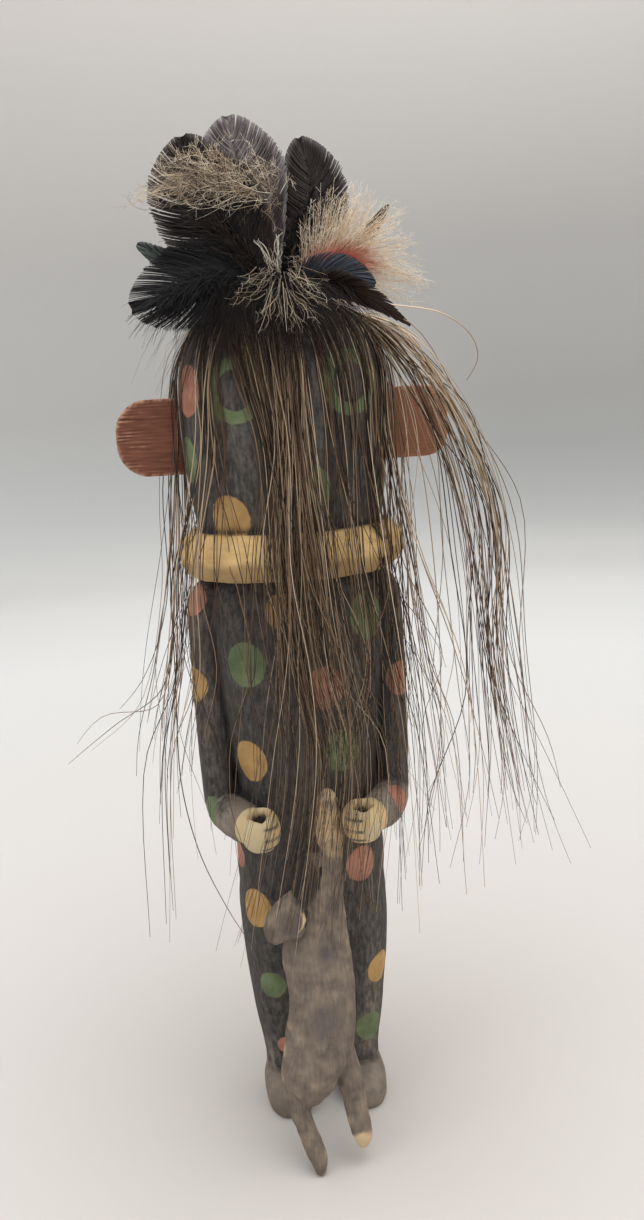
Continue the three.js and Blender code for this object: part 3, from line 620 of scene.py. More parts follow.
def makeEars():
    material = sawnRedBoard()
    for side in ("left", "right"):
        node = "ear_" + side
        made = bpy.data.objects.new("sawn_" + node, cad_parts[node].data.copy())
        bpy.context.scene.collection.objects.link(made)
        remesh(made, ears["voxel"], 3)
        points, normals = surfaceOf(made)
        wobble = ripple(points * [0.15, 1, 1], 5, 31 + len(side))
        wave = np.sin(2 * math.pi * points[:, 2] / ears["sawPitch"] + 1.6 * wobble)
        wave *= 0.6 + 0.4 * ripple(points * [0.5, 1, 1], 3, 33)
        outer = np.abs(points[:, 0]) / np.abs(points[:, 0]).max()
        strong = np.clip((outer - 0.62) * 2.6, 0.25, 1)
        faceShare = np.clip(np.abs(normals[:, 1]) * 1.5, 0, 1)
        halfway = (points[:, 2].min() + points[:, 2].max()) / 2
        points += normals * (ears["sawDepth"] * strong * wave * (0.35 + 0.65 * faceShare))[:, None]
        movePoints(made, points)
        edge = np.clip(standingOut(made, points, normals, 8) * 5 - 0.25, 0, 1)
        rim = np.clip(1.0 - faceShare + edge, 0, 1) * np.clip(0.6 + 0.6 * ripple(points, 2.2, 35), 0, 1)
        topLift = np.clip((points[:, 2] - halfway) / 8, 0, 1)
        # the right ear is painted paler, as painted light where it faces the lamp
        setValues(made, ridge=0.33 + 0.3 * wave * strong, faded=np.full(len(points), ears["fade"][side]),
            wornEdge=np.clip(1.3 * rim * (0.5 + 0.5 * topLift), 0, 0.95))
        finishPiece(made, material, "ear_board", node)


makeEars()
print("ears sawn")


# The hanging animal: carved wood under thin grey milk paint, rubbed by hands. It looks dull and patchy, and
# pale where the paint is worn through. Its colour is painted darker in the carving's creases and along the
# gap between head and body, as painted shade, and paler along the jaw's edge, as a painted highlight
animal = {
    "voxel": 0.5, "smoothing": 3, "top": 9.0, "bottom": 0.4, "grain": 0.8, "patch": 4.5,  # in mm
    "paint": [(0.45, "#584f48"), (0.75, "#786c61"), (1.0, "#928371")],
    "layers": {"greyBlotch": "#5d5553", "inkBlotch": "#33302e", "paleWear": "#c6ac86",
        "bareEdge": "#cfb792"},
    # limbs: [right, ahead of the hands, share of the way down, halfWidth, halfDepth]
    "forepaws": [[4, 4.9, 0.003, 1, 1], [3.9, 4.6, 0.022, 2.5, 2.4], [3.7, 3.9, 0.083, 3.5, 3.2],
        [3.9, 2.8, 0.141, 3.875, 3.2], [4, 1.7, 0.157, 3.25, 2.2], [3.6, 0.4, 0.203, 3.3, 3.4],
        [2.7, -1.5, 0.29, 3.7, 4.1]],
    "shoulder": [[1.8, 0.5, 0.193, 1.6, 1.4], [-1.9, 0, 0.188, 3.1, 2.9], [-3.9, -1, 0.224, 3.6, 3.5],
        [-4.4, -1.9, 0.269, 3.3, 3.1], [-3.5, -2.9, 0.33, 2, 2]],
    "ear": [[-4, -5.5, 0.25, 0.9, 0.7], [-6.1, -8.1, 0.272, 2.5, 1], [-7.5, -9.5, 0.311, 2.6, 1],
        [-8.2, -10, 0.346, 1.3, 0.8]],
    "leftLeg": [[-11.1, -11, 0.728, 3.6, 3.4], [-11.5, -12.5, 0.797, 3.3, 3],
        [-10.1, -13.6, 0.85, 2.7, 2.5], [-7.9, -14.6, 0.913, 2.8, 2.42], [-6.4, -15.6, 0.969, 2.376, 2.09],
        [-6.1, -16, 1, 1.104, 0.99]],
    "rightLeg": [[2.4, -9, 0.649, 3, 3.2], [4.5, -10.7, 0.757, 3.2, 3], [5.6, -12.2, 0.86, 3.224, 2.97],
        [6.6, -13.2, 0.921, 2.694, 2.53], [6.7, -13.6, 0.952, 1.21, 1.1]],
    "trunk": [[2.9, -0.5, 0.229, 3.5, 3.1], [-0.3, -2.3, 0.31, 7.1, 4.7], [-2.5, -4.3, 0.411, 9.7, 5.7],
        [-2.1, -5.8, 0.481, 9.5, 6], [-2, -7.3, 0.55, 9.3, 6.2], [-3.9, -9.3, 0.654, 9.7, 6.5],
        [-6.8, -10.7, 0.722, 8.3, 6.3], [-7.6, -11.5, 0.764, 7.3, 5.4], [-7.9, -12.1, 0.806, 3.6, 3.2]],
    "muzzle": [[-0.8, -2.5, 0.27, 3.1, 2.7], [-6.5, -5.4, 0.28, 4.9, 4.1], [-11.2, -6.9, 0.31, 5, 3.9],
        [-14.1, -7.6, 0.346, 3.3, 2.9], [-15.1, -8, 0.363, 1.4, 1.4]],
    # paint patches: [strength, right, share of the way down, width, height]
    "greyPatches": [[1, 0, 0.4, 6, 7], [1.2, -2, 0.575, 9, 9], [1.2, -9, 0.31, 7, 7], [1, 3, 0.29, 5, 6],
        [0.7, -5, 0.7, 6, 6]],
    "darkPatches": [[1.3, -4.5, 0.215, 5, 7.5]],
    "palePatches": [[0.3, -6, 0.74, 10, 10], [1.4, 4, 0.1, 6, 12]],
    "barePaws": [[1.3, 6.4, 0.935, 3.8, 5.5], [0.4, -6.2, 0.99, 3, 3]],
    "jaw": [[-6.2, 0.283, 0.35], [-5.9, 0.3, 0.5], [-6.6, 0.318, 0.45], [-7.8, 0.33, 0.2]],
}


def rubbedGreyPaint():
    material, tree = startMaterial("rubbedGreyMilkPaint")
    spot = addNode(tree, "TexCoord", {}, take="Object")
    upright = addNode(tree, "Mapping", {"Vector": spot, "Scale": (1, 1, 0.12)})
    grain = addNode(tree, "TexNoise", {"Vector": upright, "Scale": 1 / (animal["grain"] * mm), "Detail": 4})
    patch = addNode(tree, "TexNoise", {"Vector": spot, "Scale": 1 / (animal["patch"] * mm), "Detail": 5})
    relief = addNode(tree, "Math", {0: grain, 1: 0.5, 2: patch}, operation="MULTIPLY_ADD")
    colour = addNode(tree, "ValToRGB", {"Fac": relief}, stops=animal["paint"])
    for name, paint in animal["layers"].items():
        mark = addNode(tree, "Attribute", {}, take="Fac", attribute_name=name)
        ragged = addNode(tree, "Math", {0: patch, 1: 0.9, 2: mark}, operation="MULTIPLY_ADD")
        cover = addNode(tree, "MapRange", {"Value": ragged, "From Min": 0.72, "From Max": 1.12}, **softStep)
        colour = addNode(tree, "Mix", {0: cover, 6: colour, 7: paint}, **colourMix)
    bump = addNode(tree, "Bump", {"Strength": 0.6, "Distance": 0.14 * mm, "Height": relief})
    return closeMaterial(material, {"Base Color": colour, "Normal": bump, "IOR": 1.5, "Roughness": 0.82,
        "Specular IOR Level": 0.22})


def makeAnimal():
    high = level["hand"] + animal["top"]
    long = high - animal["bottom"]
    bodies = []
    for name, shape in (("forepaws", {}), ("shoulder", {}), ("ear", {}), ("leftLeg", {}), ("rightLeg", {}),
            ("trunk", {"squareness": 2.3, "sides": 60}), ("muzzle", {"side": alongZ})):
        rows = [[x, y - body["reach"], high - down * long, wide, deep]
            for x, y, down, wide, deep in animal[name]]
        bodies.append(limb(rows, **shape))
    made = remesh(joinBodies("carved_animal", bodies), animal["voxel"], animal["smoothing"])
    points, normals = surfaceOf(made)
    carved = 0.12 * ripple(points * [1, 1, 0.5], 6, 41) + 0.05 * ripple(points, 2.2, 42)
    points += normals * carved[:, None]
    movePoints(made, points)

    def patches(name):
        total = 0
        for share, x, down, width, rise in animal[name]:
            away = np.hypot((points[:, 0] - x) / width, (points[:, 2] - high + down * long) / rise)
            total = total + share * np.clip(1.15 - away, 0, 1)
        return total

    front = np.clip(-normals[:, 1] + 0.2, 0, 1)
    relief = standingOut(made, points, normals, 10)
    lip = [[x, 0, high - down * long, wide] for x, down, wide in animal["jaw"]]
    # a thin line beside the jaw, painted dark as painted shade in the gap between the head and the body
    gapLine = [[x + 1.1, 0, z, 0.2] for x, _, z, _ in lip[:3]]
    flat = points * [1, 0, 1]
    # a pale line along the jaw's edge, as a painted highlight
    jawHighlight = 0.8 * np.clip(0.5 - tubeReach(flat, lip), 0, 1) * (front > 0.2)
    gapShade = np.clip(0.8 - tubeReach(flat, gapLine), 0, 1) * (front > 0.2)
    rim = np.clip(np.abs(normals[:, 0]) * 1.3 - 0.55, 0, 1)
    rim = rim * np.clip(0.7 + 0.6 * ripple(points, 5, 43), 0, 1)
    worn = patches("palePatches") + 1.2 * np.clip(relief - 0.12, 0, 0.5)
    tips = np.clip((0.03 - (high - points[:, 2]) / long) / 0.03 + 0.6, 0, 1)
    tips = tips * (points[:, 2] > level["hand"])
    # the dark layer holds dark patches and painted shade in the creases and the gap; the pale layer holds
    # bare wood and a painted highlight on the jaw
    setValues(made, greyBlotch=np.clip(patches("greyPatches") * front, 0, 1) * 0.52,
        inkBlotch=np.clip(patches("darkPatches") + np.clip(-relief * 1.6 - 0.08, 0, 0.7) + gapShade, 0, 1),
        paleWear=np.clip(rim * 0.75 + worn, 0, 1) * 0.62,
        bareEdge=np.clip(tips * 0.8 + patches("barePaws") + jawHighlight, 0, 1))
    return finishPiece(made, rubbedGreyPaint(), "animal_wood", "hung_animal")


makeAnimal()
print("animal carved")


# Feathers: keratin as it grew, a quill with hundreds of barbs that leave it at a slant. Barbs that lie
# close give a soft low shine, and their frayed ends catch the light paler
def barbedVane(name, colours, roughness):
    material, tree = startMaterial(name)
    tone, rise, tip = [addNode(tree, "Attribute", {}, take="Fac", attribute_name=mark)
        for mark in ("tone", "rise", "tip")]
    base = addNode(tree, "ValToRGB", {"Fac": rise}, stops=colours["rise"])
    ends = addNode(tree, "MapRange", {"Value": tip, "From Min": 0.72, "From Max": 1.0,
        "To Max": colours["tipShare"]})
    base = addNode(tree, "Mix", {0: ends, 6: base, 7: colours["tip"]}, **colourMix)
    shade = addNode(tree, "MapRange", {"Value": tone, "To Min": 0.5, "To Max": 1.5})
    colour = addNode(tree, "Mix", {0: 1.0, 6: base, 7: shade}, blend_type="MULTIPLY", **colourMix)
    return closeMaterial(material, {"Base Color": colour, "IOR": 1.55, "Roughness": roughness,
        "Specular IOR Level": 0.16, "Sheen Weight": 0.03, "Sheen Roughness": 0.5})


# route: places [right, back, up] from the crown. half: the vane's half width at each of them
# lead: how far a barb runs up the quill. fluff: the loose afterfeather, where it grows and how it falls
feathers = {
    "feather_broad_black": dict(
        across=(0.85, 0, 0.5), route=[[-3, 0, -1.5], [-6.5, -1.2, 8], [-14, -1.8, 21], [-20, -1.8, 32],
            [-22.5, -1.6, 43]],
        half=[3, 9, 14.5, 15, 11], barbs=300, fray=0.25, lead=0.2, camber=0.1,
        fluff=dict(count=460, up=0.5, way=(-0.7, -0.3, 0.35), open=0.4, long=17, droop=0.15),
        colours=dict(rise=[(0, "#2b201b"), (0.35, "#2a211d"), (0.6, "#1d1817"), (1, "#211c1b")],
            tip="#6d625a", tipShare=0.5)),
    "feather_tall_grey": dict(
        slot="grey_feather", across=(1, 0, 0.2), route=[[-1.5, 4.5, -1.5], [-3, 4.8, 12], [-6, 5, 28],
            [-8, 5, 39], [-9.5, 4.8, 49]],
        half=[2, 6, 11.5, 12.5, 10], barbs=300, fray=0.08, lead=0.2, camber=0.18,
        fluff=dict(count=80, up=0.4, way=(-0.1, -0.5, 0.9), open=0.5, long=13, droop=0.1),
        colours=dict(rise=[(0, "#2b2423"), (0.5, "#564c4c"), (1, "#7d7474")], tip="#a59d9c",
            tipShare=0.35)),
    "feather_upright_dark": dict(
        across=(1, 0, 0), route=[[3, 8, -1.8], [6, 9.8, 10], [12, 10.8, 24], [12.5, 10.6, 34],
            [10, 10, 44]],
        half=[2, 6, 10.5, 10, 7.5], barbs=280, fray=0.18, lead=0.2, camber=0.15,
        fluff=dict(count=360, up=0.55, way=(0.1, -0.6, 0.5), open=0.6, long=13, droop=0.15),
        colours=dict(rise=[(0, "#1e1613"), (0.6, "#2a201d"), (1, "#3d3533")], tip="#7d7674", tipShare=0.5)),
    "feather_dark_tip": dict(
        across=(0.4, 0, -0.9), route=[[7.5, 6, -1.7], [15, 14, 6], [26, 15.6, 15], [35.5, 15, 26]],
        half=[0.9, 2.4, 3, 1.2], barbs=70, fray=0.2, lead=0.2, camber=0.1,
        colours=dict(rise=[(0, "#4a3d33"), (0.7, "#4a4440"), (1, "#2a2526")], tip="#5c5450", tipShare=0.3)),
    "feather_blue_tongue": dict(
        across=(0, -0.35, 0.94), route=[[4, -4, -1.2], [10, -8.4, 5], [18, -10.6, 4.6], [26, -11.4, 1.6]],
        half=[2.4, 4.6, 5, 3.4], barbs=200, fray=0.05, lead=0.24, camber=0.35,
        colours=dict(rise=[(0, "#191b1f"), (0.5, "#2d3138"), (1, "#484d56")], tip="#1b1e22", tipShare=0.35),
        roughness=0.3),
    "feather_brown_spear": dict(
        across=(0, -0.8, 0.6), route=[[6, -7, -1.6], [14, -13.4, 1.8], [24, -16.4, -2.8],
            [34, -15.6, -9.6]],
        half=[2, 5, 4, 1.0], barbs=110, fray=0.2, lead=0.22, camber=0.15,
        fluff=dict(count=1500, up=0.3, way=(-0.1, -0.8, 0.0), open=(0.75, 0.25, 0.2), long=25, droop=0.85,
            foot=(-12, 1, 1), spread=(6, 2, 1), loft=6),
        colours=dict(rise=[(0, "#1c1412"), (0.6, "#2b1f1a"), (1, "#3a2d24")], tip="#4a3b2e", tipShare=0.3)),
    "feather_black_brush": dict(
        across=(0, 0.5, 0.87), route=[[-6, -6.5, -1.6], [-13, -10.4, 5.8], [-26, -14.4, 2],
            [-39, -15, -1.4]],
        half=[5, 11, 13, 11], barbs=420, fray=0.5, lead=0.34, camber=0.1,
        fluff=dict(count=900, up=0.75, way=(-0.5, -0.5, -0.2), open=0.35, long=11.5, droop=0.35),
        colours=dict(rise=[(0, "#0c0b0b"), (0.5, "#0d0e12"), (1, "#141110")], tip="#2c2522", tipShare=0.4)),
    "feather_grey_stub": dict(
        slot="grey_feather", across=(0.5, 0, 0.85), route=[[-6, -1, -1.6], [-13, 2.2, 7.5],
            [-25, 3.4, 10.5], [-36.5, 3.6, 17]],
        half=[0.9, 2, 3, 3.2], barbs=100, fray=0.2, lead=0.18, camber=0.1,
        colours=dict(rise=[(0, "#23201f"), (0.6, "#33342f"), (1, "#454b47")], tip="#5d615c", tipShare=0.3)),
}


# Strands that leave start, bow past middle and end at finish
def bowed(start, middle, finish, share):
    t = share[None, :, None]
    return (1 - t) ** 2 * start[:, None] + 2 * t * (1 - t) * middle[:, None] + t ** 2 * finish[:, None]


def makeFeather(name, plan, seed):
    draw = np.random.default_rng(seed)
    rows = [[x, y, level["crown"] + z, half] for (x, y, z), half in zip(plan["route"], plan["half"])]
    across = unit(np.array(plan["across"], float))
    count, fray, share = plan["barbs"], plan["fray"], np.linspace(0, 1, 7)
    pitch = np.linalg.norm(np.subtract(rows[-1], rows[0])[:3]) * 0.8 / count
    paths, widths, tones, rises = [], [], [], []
    for sideways in (-1, 1):
        root = np.linspace(0.0, 0.99, count) + draw.normal(0, 0.002, count)
        clump = np.floor(root * count / 9 + draw.uniform(0, 1))  # nine barbs cling together
        clumpShift = np.random.default_rng(seed + 5).normal(0, 1, 200)[clump.astype(int) % 200]
        end = root + plan["lead"] * (1 - root ** 5) * (0.6 + 0.8 * root)
        end = np.clip(end + fray * 0.02 * clumpShift + draw.normal(0, 0.004, count), 0, 1)
        start, finish = curveThrough(rows, root)[:, :3], curveThrough(rows, end)
        bend = curveThrough(rows, root + (end - root) * 0.35)[:, :3]
        ahead = unit(curveThrough(rows, np.clip(end + 0.02, 0, 1)) - curveThrough(rows, end - 0.02))[:, :3]
        side = unit(across - ahead * (ahead @ across)[:, None])
        rounded = np.sqrt(np.clip(1 - (np.clip(end - 0.55, 0, 1) / 0.455) ** 2, 0.02, 1))
        ragged = 1 + fray * 0.07 * clumpShift * draw.uniform(0.5, 1, count) + draw.normal(0, 0.02, count)
        reach = (finish[:, 3] * rounded * ragged)[:, None]
        reached = side * sideways * reach
        path = bowed(start, bend + 0.62 * reached, finish[:, :3] + reached, share)
        wisp = draw.normal(0, 0.16, (count, 1)) * share + 0.12 * np.sin(root * 90)[:, None] * share
        droop = plan["camber"] * reach * share ** 2 + wisp
        paths.append(path - np.cross(ahead, side)[:, None] * droop[..., None])
        widths.append((1.7 * pitch + 0.09) * (1 - 0.55 * share ** 2) * draw.uniform(0.8, 1.15, (count, 1)))
        tones.append(np.clip(0.5 + 0.16 * clumpShift + draw.normal(0, 0.13, count), 0, 1))
        rises.append(end)
    loose = plan.get("fluff")
    if loose:  # the soft afterfeather round the quill's foot
        many = loose["count"]
        foot = curveThrough(rows, draw.uniform(0.02, loose["up"], many))[:, :3]
        foot = foot + draw.normal(0, 1, foot.shape) * loose.get("spread", (1.6, 1.6, 0.7))
        foot = foot + loose.get("foot", (0, 0, 0))
        way = unit(np.array(loose["way"]) + draw.normal(0, loose["open"], foot.shape))
        long = loose["long"] * draw.uniform(0.5, 1.1, (many, 1))
        path = foot[:, None] + way[:, None] * (long * share)[..., None]
        path = path - alongZ * (loose["droop"] * long * share ** 2)[..., None]
        path = path + draw.normal(0, 0.8, foot.shape)[:, None] * (share * (1 - share))[:, None]
        keepOutside(path[:, 1:], draw.uniform(0.6, loose.get("loft", 2.5), many))
        paths.append(path)
        widths.append(0.2 * (1 - 0.75 * share) * draw.uniform(0.5, 1.2, (many, 1)))
        tones.append(np.clip(draw.normal(0.5, 0.2, many), 0, 1))
        rises.append(draw.uniform(0, 0.4, many))
    # the quill is one more strand, thick at the root
    paths = np.vstack(paths + [curveThrough(rows, np.linspace(0, 0.93, len(share)))[None, :, :3]])
    widths = np.vstack(widths + [np.linspace(0.8, 0.15, len(share))[None]])
    tips = np.tile(share, (len(paths), 1))
    tips[-1] = 0
    made = makeStrands(name.replace("feather", "barbs"), paths, widths, across, 0.28, tip=tips,
        tone=np.concatenate(tones + [[0.6]]), rise=np.concatenate(rises + [[0.4]]))
    keratin = name.replace("feather_", "").replace("_", "") + "Keratin"
    material = barbedVane(keratin, plan["colours"], plan.get("roughness", 0.5))
    return finishPiece(made, material, plan.get("slot", "dark_feather"), name)


for number, (name, plan) in enumerate(feathers.items()):
    makeFeather(name, plan, 100 + number)
print("feathers laid")


# Down and bristle: keratin as it grew, soft curved barbs with finer barbules, and a few stiff pale
# bristles. It takes the light softly and glows at its edges
# spread: [across, deep] at each place of the route. curl: size in mm, fewest and most turns. The real
# barbs and barbules are far finer, and are drawn as coarse as they need to show
tufts = {
    "down_tan_curls": dict(
        route=[[-2.8, -4.4, -1.5], [4, -6.4, 18], [-2, -7, 27], [-14, -7.4, 31], [-27, -6.6, 31]],
        spread=[[3, 2], [4, 4], [6, 5], [8, 5], [9, 5]], barbs=210, focus=0.7, reach=7.5, foot=(0.42, 0.95),
        scatter=0.7,
        run=(0.02, 0.3), curl=[1.8, 0.4, 1.1], straight=0.3, width=0.085, barbules=8, fine=[0.8, 2.6],
        tangle=4.2, contrast=0.32,
        colours=[(0, "#33261e"), (0.35, "#6d5643"), (0.7, "#b89a74"), (1, "#f2e4c9")]),
    "down_cream_fan": dict(
        route=[[6.5, 1, -1.6], [12, 1, 6], [20, 2, 12], [29, 2.6, 13], [37.5, 2.6, 12.5]],
        spread=[[2, 2], [11, 5], [17, 7], [18, 7], [14, 5.5]], barbs=600, focus=0.3, reach=4.4,
        foot=(0.0, 0.55), scatter=0.2,
        curl=[0.5, 0.7, 1.5], straight=0.5, width=0.1, barbules=7, fine=[0.7, 2.4], dyed=(18, -3, 8.5),
        colours=[(0, "#8c6f56"), (0.35, "#cfad88"), (0.7, "#ebd2ae"), (1, "#fbf1de")]),
    "bristle_white": dict(
        route=[[1.2, -3.6, -1.5], [0, -6.2, 8], [-1.6, -7.2, 15.5]],
        spread=[[0.9, 0.9], [2.6, 1.3], [4.2, 1.6]], barbs=16, focus=0.35, reach=0.6, foot=(0.35, 0.6),
        scatter=0.9,
        curl=[0.1, 0.5, 1.0], straight=0.9, width=0.2, barbules=0, fine=[0, 0],
        colours=[(0, "#8a8069"), (0.4, "#c9c2a8"), (0.75, "#dcd6c0"), (1, "#efeada")]),
    "down_cream_frizz": dict(
        route=[[1.4, -9, 4], [0.6, -17, 7], [-0.4, -29, -1]],
        lies=True, spread=[[5, 3], [9, 7], [12, 8]], barbs=84, focus=0.3, reach=6, foot=(0.5, 1.0),
        scatter=0.8,
        curl=[0.9, 1.2, 2.6], straight=0.5, width=0.085, barbules=0, fine=[0, 0],
        colours=[(0, "#2a211a"), (0.35, "#6a563f"), (0.7, "#c4ae86"), (1, "#f3e6cb")]),
}


def downMaterial(name, stops):
    material, tree = startMaterial(name)
    tone, dyed = [addNode(tree, "Attribute", {}, take="Fac", attribute_name=mark)
        for mark in ("tone", "dyed")]
    colour = addNode(tree, "ValToRGB", {"Fac": tone}, stops=stops)
    colour = addNode(tree, "Mix", {0: dyed, 6: colour, 7: "#c4502f"}, **colourMix)
    return closeMaterial(material, {"Base Color": colour, "IOR": 1.55, "Roughness": 0.6,
        "Specular IOR Level": 0.3, "Sheen Weight": 0.4})


def makeTuft(name, plan, seed):
    draw = np.random.default_rng(seed)
    rows = [[x, y, level["crown"] + z, a, b] for (x, y, z), (a, b) in zip(plan["route"], plan["spread"])]
    side, other = unit(np.cross(alongY, np.subtract(rows[-1], rows[0])[:3])), alongY
    if plan.get("lies"):  # a tuft that lies on the brow is spread across it
        side, other = alongX, unit(np.array([0, -0.3, -1.0]))
    count, share = plan["barbs"], np.linspace(0, 1, 14)
    root = draw.uniform(*plan["foot"], count)
    end = np.clip(root + draw.uniform(*plan.get("run", (0.1, 0.7)), count), 0, 1)
    turn = draw.uniform(0, 2 * math.pi, count)
    far = draw.uniform(0.3, 1, count) ** 0.5

    def hullAt(spots, out):
        x, y, z, wide, deep = curveThrough(rows, spots).T
        return (np.stack([x, y, z], 1) + side * (np.cos(turn) * wide * out)[:, None]
            + other * (np.sin(turn) * deep * out)[:, None])

    finish = hullAt(end, far)
    outward = unit(finish - curveThrough(rows, [plan["focus"]])[0, :3])
    finish = finish + outward * draw.uniform(0, plan["reach"], (count, 1))
    start = hullAt(root, plan["scatter"] * far * draw.uniform(0.2, 1, count))
    middle = 0.35 * (start + finish) + 0.3 * curveThrough(rows, (root + end) / 2)[:, :3]
    paths = bowed(start, middle + draw.normal(0, plan.get("tangle", 1.2), (count, 3)), finish, share)
    size, slow, quick = plan["curl"]
    curly = (draw.uniform(0, 1, (count, 1)) > plan["straight"]) * draw.uniform(0.5, 1.2, (count, 1))
    phase = draw.uniform(0, 6.28, (count, 1)) + 6.28 * share ** 2 * draw.uniform(slow, quick, (count, 1))
    size = size * curly * np.clip(share * 1.6 - 0.3, 0, 1)
    paths = paths + side * (size * np.sin(phase))[..., None]
    paths = paths + (alongZ - 0.6 * alongY) * (size * np.cos(phase))[..., None]
    widths = plan["width"] * (1 - 0.7 * share) * draw.uniform(0.6, 1.3, (count, 1))
    tone = np.clip(draw.normal(0.3, plan.get("contrast", 0.2), (count, 1)) + 0.5 * share, 0, 1)

    def dyeOf(points):
        if "dyed" not in plan:
            return np.zeros(points.shape[:-1])
        away = np.linalg.norm((points - plan["dyed"] - alongZ * level["crown"]) * [0.5, 0.3, 1.0], axis=-1)
        return np.clip(1.7 - away / 4.0, 0, 0.95)

    made = makeStrands(name.replace("down", "fluff"), paths, widths, side + 0.01, 0.6, tone=tone,
        dyed=dyeOf(paths))
    if plan["barbules"]:
        spot = draw.integers(4, len(share) - 1, (count, plan["barbules"]))
        pick = np.arange(count)[:, None]
        origin = paths[pick, spot].reshape(-1, 3)
        ahead = unit(paths[pick, spot + 1] - paths[pick, spot - 1]).reshape(-1, 3)
        out = unit(np.cross(ahead, draw.normal(size=ahead.shape)))
        long = draw.uniform(*plan["fine"], (len(origin), 1, 1))
        wave = np.linspace(0, 1, 4)[None, :, None]
        small = origin[:, None] + (ahead * 0.75 + out * 0.65)[:, None] * (long * wave)
        small = small + draw.normal(0, 0.2, (len(origin), 1, 3)) * wave ** 2
        shade = np.clip(np.take_along_axis(tone, spot, 1).ravel() + 0.12, 0, 1)
        fine = makeStrands(made.name + "_fine", small, np.full(small.shape[:2], 0.04), side + 0.01, 0.7,
            tone=shade, dyed=dyeOf(small))
        with bpy.context.temp_override(active_object=made, selected_editable_objects=[made, fine]):
            bpy.ops.object.join()
    return finishPiece(made, downMaterial(name.replace("_", "") + "Barbs", plan["colours"]), "pale_down",
        name)


for number, (name, plan) in enumerate(tufts.items()):
    makeTuft(name, plan, 200 + number)
print("down tufts made")


# Horsehair from a tail, washed and left as it grew: hairs of about 0.2 mm, drawn 0.3 mm thick so that they
# show, each with a thin sharp glint. Each has its own path from the crown, over the head and free below
hair = {"halfWidth": 0.15, "steps": 40, "within": (-78, 85),
    "heights": {4: [0.985, 0.9, 0.7, 0.4], 2: [0.985, 0.93]},
    "tones": [(0, "#14100e"), (0.35, "#31261d"), (0.6, "#634b3a"), (0.8, "#997e63"), (1, "#dfc8ab")]}


def horseTailHair():
    material, tree = startMaterial("horseTailHair")
    tone = addNode(tree, "Attribute", {}, take="Fac", attribute_name="tone")
    colour = addNode(tree, "ValToRGB", {"Fac": tone}, stops=hair["tones"])
    return closeMaterial(material, {"Base Color": colour, "IOR": 1.55, "Roughness": 0.38,
        "Specular IOR Level": 0.3})


def skull(angle, z, lift):
    share = np.interp((z - level["ruffTop"]) / headTall, *np.transpose(headOutline))
    wide, deep = share * body["head"][0] / 2 + lift, share * body["head"][1] / 2 + lift
    across, ahead = np.sin(np.radians(angle)), np.cos(np.radians(angle))
    radius = ((np.abs(across) / wide) ** 2.25 + (np.abs(ahead) / deep) ** 2.25) ** (-1 / 2.25)
    return np.stack([across * radius, -ahead * radius, np.full_like(radius, z)], -1)


